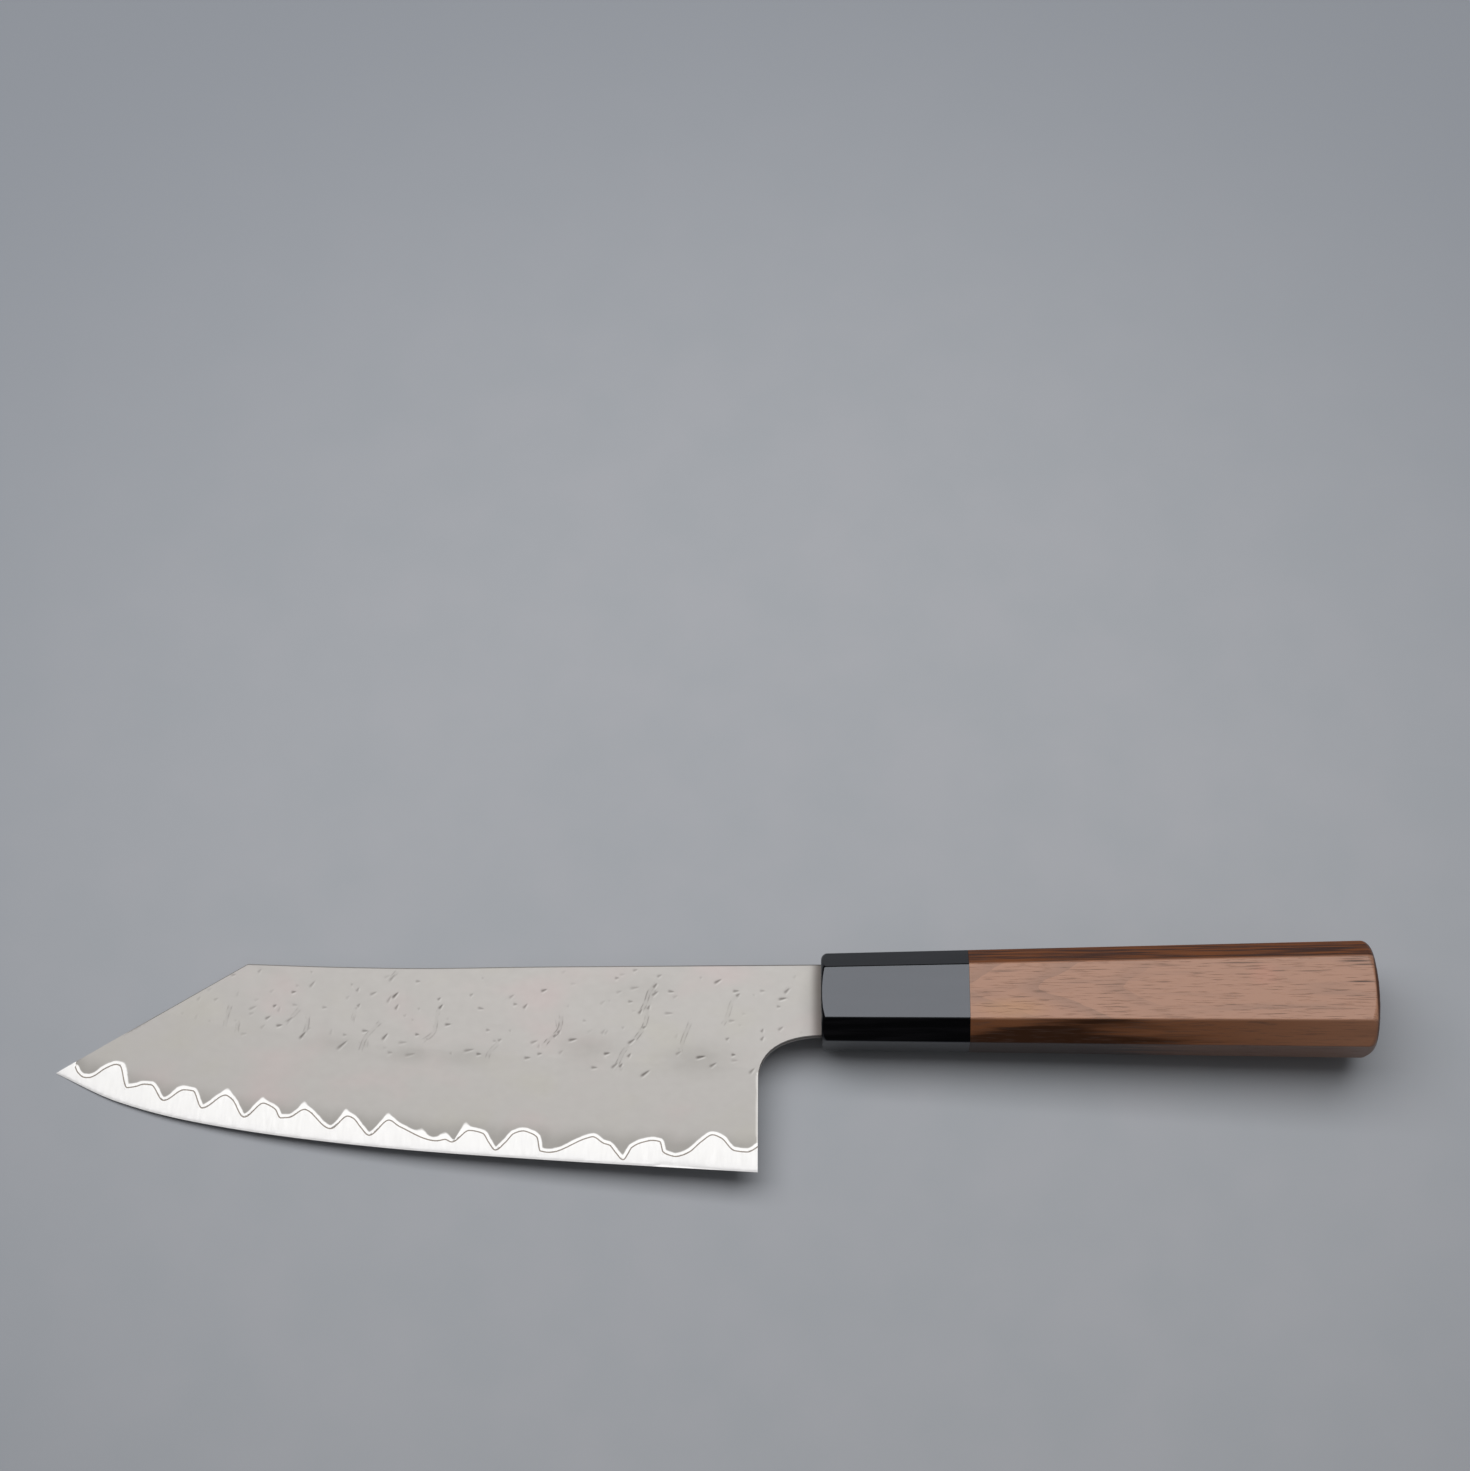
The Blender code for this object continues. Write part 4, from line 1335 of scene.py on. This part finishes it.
@dataclass(frozen=True)
class HammerWork:
    """What the hammer left on one face of the blade, as relief and dark scale."""

    pocks: tuple[Pock, ...]
    folds: tuple[Fold, ...]
    pock_half_width: float = 0.3
    pock_depth: float = 0.05
    pock_middle: float = 0.85  # a pit's width halfway along, as a share of the full one
    pock_taper: float = 0.45  # how much of it is lost towards the narrow end
    pock_widths: Pair = (0.3, 1.1)
    lip_height: float = 0.01
    lip_away: float = 0.9  # the lip's place and width, as shares of a pit's half width
    lip_width: float = 0.6
    channel: float = 0.42  # half the width of a fold between its walls
    wall: float = 0.14  # half the thickness of a wall's dark line
    fold_depth: float = 0.03
    floor_dark: float = 0.15  # how dark a fold's floor is against its walls
    open_ends: Pair = (0.8, 2.8)  # where the walls begin and are full, in channels
    break_size: float = 1.6  # how often a wall's line breaks up
    break_level: float = 0.55
    break_strength: float = 1.4
    clear: float = 1.0  # a pit has faded out this far beyond its length
    fold_clear: float = 1.5
    swell: float = 0.085  # height of the broad dents
    swell_size: float = 8.0
    ripple: float = 0.02
    ripple_size: float = 2.6

    def touched(self, points: np.ndarray, room: float) -> np.ndarray:
        """Which points lie on a mark, or within some room of it.

        Args:
            points: rows of x and y.
            room: that room in millimetres.

        Returns:
            One true or false for each point.
        """
        hit = np.zeros(len(points), bool)
        for pock in self.pocks:
            hit |= np.hypot(*(points - (pock.x, pock.y)).T) < pock.length / 2 + room
        for fold in self.folds:
            hit |= line_distance(points, rounded_line(fold.corners)) < self.channel + room
        return hit

    def marks(self, points: np.ndarray) -> np.ndarray:
        """How the marks look at points on the blade.

        Args:
            points: rows of x and y.

        Returns:
            Four columns, one row for each point, each from 0 to 1: depth of pits, strength of their
            lips (raised, and painted as a highlight), darkness of folds and depth of folds.
        """
        made = np.zeros((len(points), 4))
        for pock in self.pocks:
            near = np.abs(points - (pock.x, pock.y)).max(1) < pock.length + self.clear
            made[near, :2] = np.maximum(made[near, :2], self.pit_and_lip(pock, points[near]))
        for fold in self.folds:
            line = rounded_line(fold.corners)
            low, high = line.min(0) - self.fold_clear, line.max(0) + self.fold_clear
            near = ((points > low) & (points < high)).all(1)
            creased = fold.dark * self.walls_and_floor(line, points[near])
            made[near, 2:] = np.maximum(made[near, 2:], creased)
        return made

    def pit_and_lip(self, pock: Pock, points: np.ndarray) -> np.ndarray:
        """One mark's pit, and the lip on one side of it, raised and painted as a highlight.

        Args:
            pock: the mark.
            points: rows of x and y near it.

        Returns:
            Two columns: depth of the pit and strength of its lip's rise and painted highlight.
        """
        turn = math.radians(pock.lean)
        dx, dy = (points - (pock.x, pock.y)).T
        along = (dx * math.cos(turn) + dy * math.sin(turn)) / (pock.length / 2)
        across = (dy * math.cos(turn) - dx * math.sin(turn)) / self.pock_half_width
        wide = np.clip(self.pock_middle - self.pock_taper * along, *self.pock_widths)
        off_lip = (across + wide + self.lip_away) / self.lip_width
        inside = pock.dark * np.exp(-(along**4))
        pit = inside * np.exp(-((across / wide) ** 2))
        return np.stack([pit, inside * np.exp(-(off_lip**2))], 1)

    def walls_and_floor(self, line: np.ndarray, points: np.ndarray) -> np.ndarray:
        """A fold's two dark walls and the floor between them, before its own darkness counts.

        Args:
            line: rows of x and y along its middle.
            points: rows of x and y near it.

        Returns:
            Two columns: darkness and depth.
        """
        away = line_distance(points, line)
        whole = np.array([self.wholeness(place) for place in points])
        ends = [np.hypot(*(points - end).T) for end in (line[0], line[-1])]
        open_end = soft_step(np.minimum(*ends) / self.channel, *self.open_ends)
        walls = whole * open_end * np.exp(-(((away - self.channel) / self.wall) ** 2))
        floor = open_end * np.exp(-((away / self.channel) ** 4))
        return np.stack([np.maximum(walls, self.floor_dark * floor), floor], 1)

    def wholeness(self, place: np.ndarray) -> float:
        """How unbroken a fold's wall is at a place, from 0 to 1."""
        wave = noise.noise(Vector((*place / self.break_size, BREAK_LAYER)))
        return min(max(self.break_level + self.break_strength * wave, 0.0), 1.0)

    def swelling(self, points: np.ndarray) -> np.ndarray:
        """The broad shallow dents between the marks.

        Args:
            points: rows of x and y.

        Returns:
            One height for each point, in millimetres.
        """
        heights = []
        for x, y in points:
            broad = noise.noise(Vector((x / self.swell_size, y / self.swell_size, BROAD_LAYER)))
            fine = noise.noise(Vector((x / self.ripple_size, y / self.ripple_size, RIPPLE_LAYER)))
            heights.append(self.swell * broad + self.ripple * fine)
        return np.array(heights)


@dataclass(frozen=True)
class SmallMarks:
    """Small pits at random places on the hammered band, leaning as the listed ones do."""

    count: int
    darkest: float
    least_dark: float = 0.1
    seed: int = 41
    reach: Pair = (-160.0, -4.0)  # along the blade
    below_spine: float = 1.0
    below_bevel: float = 2.0  # how far down the bevel they go
    lengths: Pair = (0.5, 1.6)
    lean: Pair = (32.0, 20.0)  # mean and spread, in degrees

    def place(self, outline: Outline, grind: Grind) -> tuple[Pock, ...]:
        """Place the marks.

        Args:
            outline: the blade's lines.
            grind: the blade's thickness.

        Returns:
            The marks.
        """
        chance = random.Random(self.seed + self.count)
        rows = []
        for _ in range(self.count):
            x = chance.uniform(*self.reach)
            top = float(np.interp(x, *outline.spine.T)) - self.below_spine
            low = float(np.interp(x, *outline.edge.T)) + grind.bevel_height - self.below_bevel
            y = chance.uniform(low, top) if low < top else top
            lean = chance.gauss(*self.lean)
            length, dark = chance.uniform(*self.lengths), chance.uniform(self.least_dark, self.darkest)
            rows.append(Pock(x, y, length, lean, dark))
        return tuple(rows)


@dataclass
class Blade:
    """The three forged layers: the bare core, and a hammered cladding on either face."""

    outline: Outline = field(default_factory=Outline)
    grind: Grind = field(default_factory=Grind)
    length: float = 173.5
    halo_width: float = 0.72
    core_net: float = 0.75  # spacing of the core's net
    line_cuts: int = 3  # cuts through each side of its meshes at the core's line
    line_room: float = 0.62  # how far from the weld line the core's net is that fine
    net: float = 0.6  # spacing of the claddings' net
    mark_cuts: int = 3
    mark_room: float = 0.4
    halo_cuts: int = 1
    halo_room: float = 2.1
    heel_rim: Pair = (0.5, 0.05)  # where the heel's bright rim begins and is full
    heel_top: float = -18.0
    mouth_start: float = -3.2  # where the painted shade of the ferrule begins on the neck
    mouth: float = -0.3
    mouth_shade_strength: float = 0.65
    neck_end: float = 2.0  # where the neck goes into the ferrule
    on_visible: SmallMarks = SmallMarks(60, 0.28)
    on_hidden: SmallMarks = SmallMarks(120, 0.6)
    facing: float = 0.9  # how squarely an outer face looks up or down
    facing_core: float = 0.5
    sharp: float = 40.0  # a cladding's edges that turn by more degrees than this stay sharp
    sharp_core: float = 30.0
    below_band: float = 4.0  # the dents fade out from this far below the bevel's top
    above_band: float = 1.0  # and are full from this far above it
    spine_fade: Pair = (0.3, 1.5)
    smoke_top: float = 0.85
    smoke_heights: Pair = (10.0, 4.0)  # where the smoke begins and is full
    smoke_reach: Pair = (7.0, 1.0)  # the same, counted from the weld line
    # How strong the painted highlight on the pits' lips is
    lip_highlight_strength: float = 0.5

    def build(self) -> list[bpy.types.Object]:
        """Make the three layers.

        Returns:
            Core, left cladding and right cladding.
        """
        placed = self.on_visible.place(self.outline, self.grind)
        visible = HammerWork(POCKS + placed, FOLDS)
        hidden = HammerWork(self.on_hidden.place(self.outline, self.grind), ())
        return [
            self.core(),
            self.cladding(Side.LEFT, visible),
            self.cladding(Side.RIGHT, hidden),
        ]

    def core(self) -> bpy.types.Object:
        """The hard middle layer, with a finer net where it is bare.

        Returns:
            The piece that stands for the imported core.
        """
        shape = merged_copy("core_steel")
        bare = [f for f in shape.faces if abs(f.normal.z) > self.facing_core and self.is_bare(f)]
        for axis in (0, 1):
            bare = slice_fine(shape, bare, axis, self.core_net)
        middles = np.array([f.calc_center_median().xy for f in bare])
        near = line_distance(middles, self.outline.curve, self.line_room) < self.line_room
        refine(shape, [f for f, hit in zip(bare, near) if hit], self.line_cuts)
        self.outline.regrind(shape, self.grind)
        piece = stand_in(shape, "core", "core_steel", self.sharp_core)
        points = points_of(piece.data)
        carry(piece.data, Carried.WELD, self.outline.below_weld(points))
        carry(piece.data, Carried.EDGE, self.outline.edge_height(points))
        return piece

    def is_bare(self, face: bmesh.types.BMFace) -> bool:
        """Whether a face of the core is bare.

        Args:
            face: one of its faces.

        Returns:
            True if it reaches below the weld line, ahead of the heel.
        """
        middle = face.calc_center_median()
        lowest = min(vert.co.y for vert in face.verts)
        weld = float(np.interp(middle.x, *self.outline.weld.T))
        return middle.x < self.outline.heel and lowest < weld

    def cladding(self, side: Side, work: HammerWork) -> bpy.types.Object:
        """One outer layer, with the hammer's marks pressed into it.

        Args:
            side: the face that it covers.
            work: the marks.

        Returns:
            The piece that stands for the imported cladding.
        """
        name = side.name.lower() + "_cladding"
        shape = merged_copy(name)
        outer = [
            f
            for f in shape.faces
            if f.normal.z * side.value > self.facing and f.calc_center_median().x < self.neck_end
        ]
        for axis in (0, 1):
            outer = slice_fine(shape, outer, axis, self.net)
        middles = np.array([f.calc_center_median().xy for f in outer])
        marked = work.touched(middles, self.mark_room)
        at_weld = line_distance(middles, self.outline.weld, self.halo_room) < self.halo_room
        refine(shape, [f for f, hit in zip(outer, marked) if hit], self.mark_cuts)
        rest = [f for f, hit, weld in zip(outer, marked, at_weld) if weld and not hit]
        refine(shape, rest, self.halo_cuts)
        self.outline.regrind(shape, self.grind)
        self.press(shape, side, work)
        piece = stand_in(shape, "forged_" + name, name, self.sharp)
        self.carry_cladding(piece.data, work)
        return piece

    def press(self, shape: bmesh.types.BMesh, side: Side, work: HammerWork) -> None:
        """Move the outer face's points by the hammer's relief.

        Args:
            shape: the cladding's mesh.
            side: the face that it covers.
            work: the marks.
        """
        shape.normal_update()
        outwards = [v for v in shape.verts if v.normal.z * side.value > self.facing]
        verts = [v for v in outwards if v.co.x < self.neck_end]
        points = np.array([v.co.xy for v in verts])
        height = self.outline.edge_height(points)
        below_spine = np.interp(points[:, 0], *self.outline.spine.T) - points[:, 1]
        above_bevel = height - self.grind.bevel_height
        band = soft_step(above_bevel, -self.below_band, self.above_band)
        inside = soft_step(below_spine, *self.spine_fade)
        pit, lip, _, fold = work.marks(points).T
        relief = work.swelling(points) * band * inside
        relief += (work.lip_height * lip - work.pock_depth * pit - work.fold_depth * fold) * inside
        for vert, rise in zip(verts, relief):
            vert.co.z += side.value * rise

    def carry_cladding(self, mesh: bpy.types.Mesh, work: HammerWork) -> None:
        """Store what the cladding's material reads.

        Args:
            mesh: the cladding's mesh.
            work: the marks.
        """
        flat = points_of(mesh)[:, :2]
        away = line_distance(flat, self.outline.curve, self.outline.weld_reach)
        pit, lip, fold, _ = work.marks(flat).T
        carry(mesh, Carried.HALO, away / self.halo_widths(flat[:, 0]))
        carry(mesh, Carried.SHADE, self.smoke(flat, away))
        at_heel = soft_step(self.outline.heel - flat[:, 0], *self.heel_rim)
        at_heel *= (flat[:, 0] < self.outline.heel + HAIR) & (flat[:, 1] < self.heel_top)
        carry(mesh, Carried.MARK, np.maximum(pit, fold))
        # Painted highlight on the pits' lips, together with the heel's bright rim
        carry(mesh, Carried.LIP, np.maximum(self.lip_highlight_strength * lip, at_heel))
        # Painted shade and dark reflection of the black ferrule, darkest at its mouth
        painted_ferrule_shade = self.mouth_shade_strength * soft_step(flat[:, 0], self.mouth_start, self.mouth)
        carry(mesh, Carried.MOUTH, painted_ferrule_shade)

    def halo_widths(self, x: np.ndarray) -> np.ndarray:
        """How wide the white rim along the weld is.

        Args:
            x: places along the knife.

        Returns:
            One width for each place, in millimetres.
        """
        width = np.full(len(x), self.halo_width)
        for flare in FLARES:
            middle = self.outline.heel - flare.share * self.length
            width += flare.extra * np.exp(-(((x - middle) / flare.reach) ** 2))
        return width

    def smoke(self, points: np.ndarray, away: np.ndarray) -> np.ndarray:
        """The smoky shading in the weld line's hollows and on the hammered band.

        Args:
            points: rows of x and y.
            away: how far each lies from the weld line.

        Returns:
            One value for each point, 0 clean to 1 smoky.
        """
        height = self.outline.edge_height(points)
        smoky = self.smoke_top * soft_step(height, *self.smoke_heights)
        smoky *= soft_step(away, *self.smoke_reach)
        for smear in SMEARS:
            spread = ((points - (smear.x, smear.y)) / (smear.reach_x, smear.reach_y)) ** 2
            smoky = np.maximum(smoky, smear.dark * np.exp(-spread.sum(1)))
        return smoky

    def dress(self, layers: list[bpy.types.Object]) -> None:
        """Give the layers their steel.

        Args:
            layers: the core and the claddings.
        """
        core, *claddings = layers
        core.data.materials.append(PolishedCore("polished_high_carbon_steel").material())
        iron = ForgedCladding("forged_iron_cladding").material()
        for cladding in claddings:
            cladding.data.materials.append(iron)


@dataclass
class Handle:
    """The octagonal handle: horn ferrule, walnut grip, and the dowel and seal inside it."""

    same_plane: float = 0.05  # faces nearer in slope than this many degrees become one
    sharp: float = 40.0  # edges that turn by more than this many degrees stay sharp
    facet_weight: int = 90  # how much the wide facets' slope counts at their edges, of 100

    def build(self) -> list[bpy.types.Object]:
        """Make ferrule and grip, with flat facets and softly rounded edges.

        Returns:
            The two pieces, in that order.
        """
        return [
            self.faceted("horn_ferrule", "ferrule"),
            self.faceted("walnut_grip", "handle_body"),
        ]

    def faceted(self, name: str, node: str) -> bpy.types.Object:
        """One octagonal piece whose wide facets shade flat and whose rounded edges shade round.

        Args:
            name: the piece's name.
            node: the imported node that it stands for.

        Returns:
            The piece.
        """
        shape = merged_copy(node)
        bmesh.ops.dissolve_limit(
            shape,
            angle_limit=math.radians(self.same_plane),
            verts=shape.verts,
            edges=shape.edges,
        )
        piece = stand_in(shape, name, node, self.sharp)
        weighted = piece.modifiers.new("flat facets", "WEIGHTED_NORMAL")
        weighted.keep_sharp = True
        weighted.weight = self.facet_weight
        return piece

    def dress(self, parts: list[bpy.types.Object]) -> None:
        """Give the parts, and the dowel and seal as they are packed, their materials.

        Args:
            parts: ferrule and grip.
        """
        ferrule, grip = parts
        ferrule.data.materials.append(BuffaloHorn("polished_buffalo_horn").material())
        grip.data.materials.append(OiledWalnut("oiled_walnut").material())
        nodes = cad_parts
        nodes["dowel"].material_slots[0].material = TurnedMagnolia("turned_magnolia").material()
        nodes["tang_seal"].material_slots[0].material = SealResin("dark_epoxy_resin").material()


@dataclass(frozen=True)
class Studio:
    """A pale board under one large soft lamp, in a dim room, and the camera."""

    floor_size: float = 14.0
    lamp_size: Pair = (1.15, 0.5)
    lamp_distance: float = 0.75
    lamp_lean: float = 19.5  # degrees from straight above, towards the spine
    lamp_drift: float = -3.0  # degrees from straight above, towards the tip
    lamp_power: float = 6.8
    room_dark: float = 0.02
    room_ceiling: float = 0.27
    room_rise: Pair = (0.3, 0.9)  # sines of the angles upwards between which it grows lighter
    camera_place: Triple = (0.00716, -0.14395, 0.60403)
    camera_elevation: float = 69.0
    camera_turn: float = 0.46
    lens: float = 60.96

    def build(self) -> None:
        """Make floor, lamp, room and camera."""
        self.floor()
        self.lamp()
        self.room()
        self.camera()
        bpy.context.scene.view_settings.view_transform = "Standard"

    def floor(self) -> None:
        """The board that the knife lies on."""
        shape = bmesh.new()
        bmesh.ops.create_grid(shape, x_segments=2, y_segments=2, size=self.floor_size / 2)
        mesh = bpy.data.meshes.new("floor_board")
        shape.to_mesh(mesh)
        shape.free()
        board = bpy.data.objects.new("floor_board", mesh)
        board.location.z = -HAIR * MM
        board.data.materials.append(FloorBoard("matte_painted_board").material())
        bpy.context.collection.objects.link(board)

    def lamp(self) -> None:
        """One soft lamp, overhead and a little beyond the spine."""
        data = bpy.data.lights.new("soft_lamp", "AREA")
        data.shape = "RECTANGLE"
        data.size, data.size_y = self.lamp_size
        data.energy = self.lamp_power
        lamp = bpy.data.objects.new("soft_lamp", data)
        tilt = Matrix.Rotation(math.radians(-self.lamp_lean), 4, "X")
        drift = Matrix.Rotation(math.radians(self.lamp_drift), 4, "Y")
        lamp.matrix_world = tilt @ drift @ Matrix.Translation((0.0, 0.0, self.lamp_distance))
        bpy.context.collection.objects.link(lamp)

    def room(self) -> None:
        """A room that is dark at the level of the floor and dim overhead."""
        world = bpy.data.worlds.new("dim_room")
        world.use_nodes = True
        tree = world.node_tree
        way = add_node(tree, "TexCoord", {}).outputs["Generated"]
        up = add_node(tree, "SeparateXYZ", {"Vector": way}).outputs["Z"]
        begin, end = self.room_rise
        inputs = {"Value": up, "From Min": begin, "From Max": end}
        inputs |= {"To Min": self.room_dark, "To Max": self.room_ceiling}
        level = add_node(tree, "MapRange", inputs, interpolation_type="SMOOTHSTEP")
        white = (1.0, 1.0, 1.0, 1.0)
        feed(tree.nodes["Background"], {"Color": white, "Strength": level.outputs["Result"]})
        bpy.context.scene.world = world

    def camera(self) -> None:
        """The camera, at the place and angle worked out from the photograph."""
        data = bpy.data.cameras.new("camera")
        data.lens = self.lens
        camera = bpy.data.objects.new("camera", data)
        camera.location = self.camera_place
        look_down = math.radians(90.0 - self.camera_elevation)
        camera.rotation_euler = (look_down, 0.0, math.radians(self.camera_turn))
        bpy.context.collection.objects.link(camera)
        bpy.context.scene.camera = camera


def main() -> None:
    """Dress the knife and set up the studio."""
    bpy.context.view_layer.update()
    blade = Blade()
    layers = blade.build()
    blade.dress(layers)
    handle = Handle()
    parts = handle.build()
    handle.dress(parts)
    for piece in layers + parts:
        log.info("%s: %d faces", piece.name, len(piece.data.polygons))
    Studio().build()


if __name__ == "__main__":
    main()
